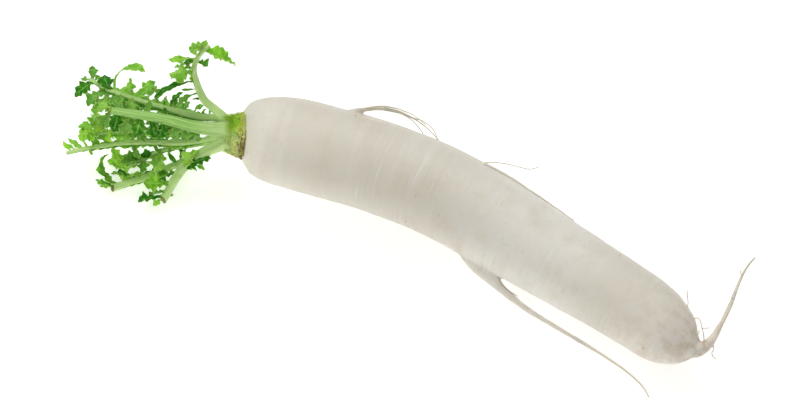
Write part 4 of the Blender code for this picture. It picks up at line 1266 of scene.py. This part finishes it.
def camera():
    data = bpy.data.cameras.new("camera")
    data.lens = 100
    data.sensor_width = 36
    back = direction(VIEW_AZIMUTH, VIEW_ELEVATION)
    obj = added("camera", data)
    obj.location = VIEW_TARGET + back * VIEW_DISTANCE
    obj.rotation_euler = (-back).to_track_quat("-Z", "Y").to_euler()
    bpy.context.scene.camera = obj


def soft_light(name, azimuth, elevation, distance, size, power, color, target=VIEW_TARGET, spread=180):
    """A square soft box that faces the radish. Azimuth is from the camera's side, in degrees."""
    data = bpy.data.lights.new(name, "AREA")
    data.size = size
    data.energy = power
    data.color = color
    data.spread = math.radians(spread)
    away = direction(VIEW_AZIMUTH + math.radians(azimuth), math.radians(elevation))
    obj = added(name, data)
    obj.location = target + away * distance
    obj.rotation_euler = (-away).to_track_quat("-Z", "Y").to_euler()


def studio():
    """A light table under the radish, with soft boxes behind it and weaker ones around it."""
    scene = bpy.context.scene
    scene.view_settings.view_transform = "Standard"
    world = bpy.data.worlds.new("studio")
    world.use_nodes = True
    world.node_tree.nodes["Background"].inputs["Strength"].default_value = 0
    scene.world = world
    white, warm = (1.0, 1.0, 1.0), (1.0, 0.93, 0.66)
    soft_light("back_box", 180, 48, 1.6, 1.3, 8.2, white)
    soft_light("back_left_box", -130, 45, 1.6, 1.0, 7.0, white)
    soft_light("back_right_box", 130, 45, 1.6, 1.0, 4.8, white)
    soft_light("left_box", -85, 30, 1.5, 0.9, 3.4, warm)
    soft_light("right_box", 85, 30, 1.5, 0.9, 2.0, warm)
    middle = Vector((105, -30, 30)) * MM
    soft_light("near_box", 0, 75, 0.55, 0.35, 0.60, white, middle)
    soft_light("near_front_box", -10, 25, 0.55, 0.35, 0.74, white, middle)
    leafy = Vector((-250, -60, 30)) * MM
    soft_light("leaf_box", -30, 38, 0.6, 0.20, 0.055, white, leafy, 34)
    floor_finish = Finish("floor", {
        "Base Color": (0.89, 0.89, 0.89, 1), "Specular IOR Level": 0.1, "Roughness": 0.9,
        "Emission Color": (1.0, 1.0, 1.0, 1), "Emission Strength": 0.47,
    })
    bm = bmesh.new()
    bmesh.ops.create_grid(bm, x_segments=1, y_segments=1, size=3)
    bmesh.ops.translate(bm, verts=bm.verts, vec=(0, 0, -0.0002))
    mesh = bpy.data.meshes.new("floor")
    bm.to_mesh(mesh)
    bm.free()
    mesh.materials.append(floor_finish.material)
    added("floor", mesh)


for startup in ("Cube", "Light", "Camera"):
    if startup in bpy.data.objects:
        bpy.data.objects.remove(bpy.data.objects[startup])
camera()
studio()
taproot(skin_finish())
crown(crown_finish())
leaves(stalk_finish(), leaflet_finish())
bpy.context.view_layer.update()
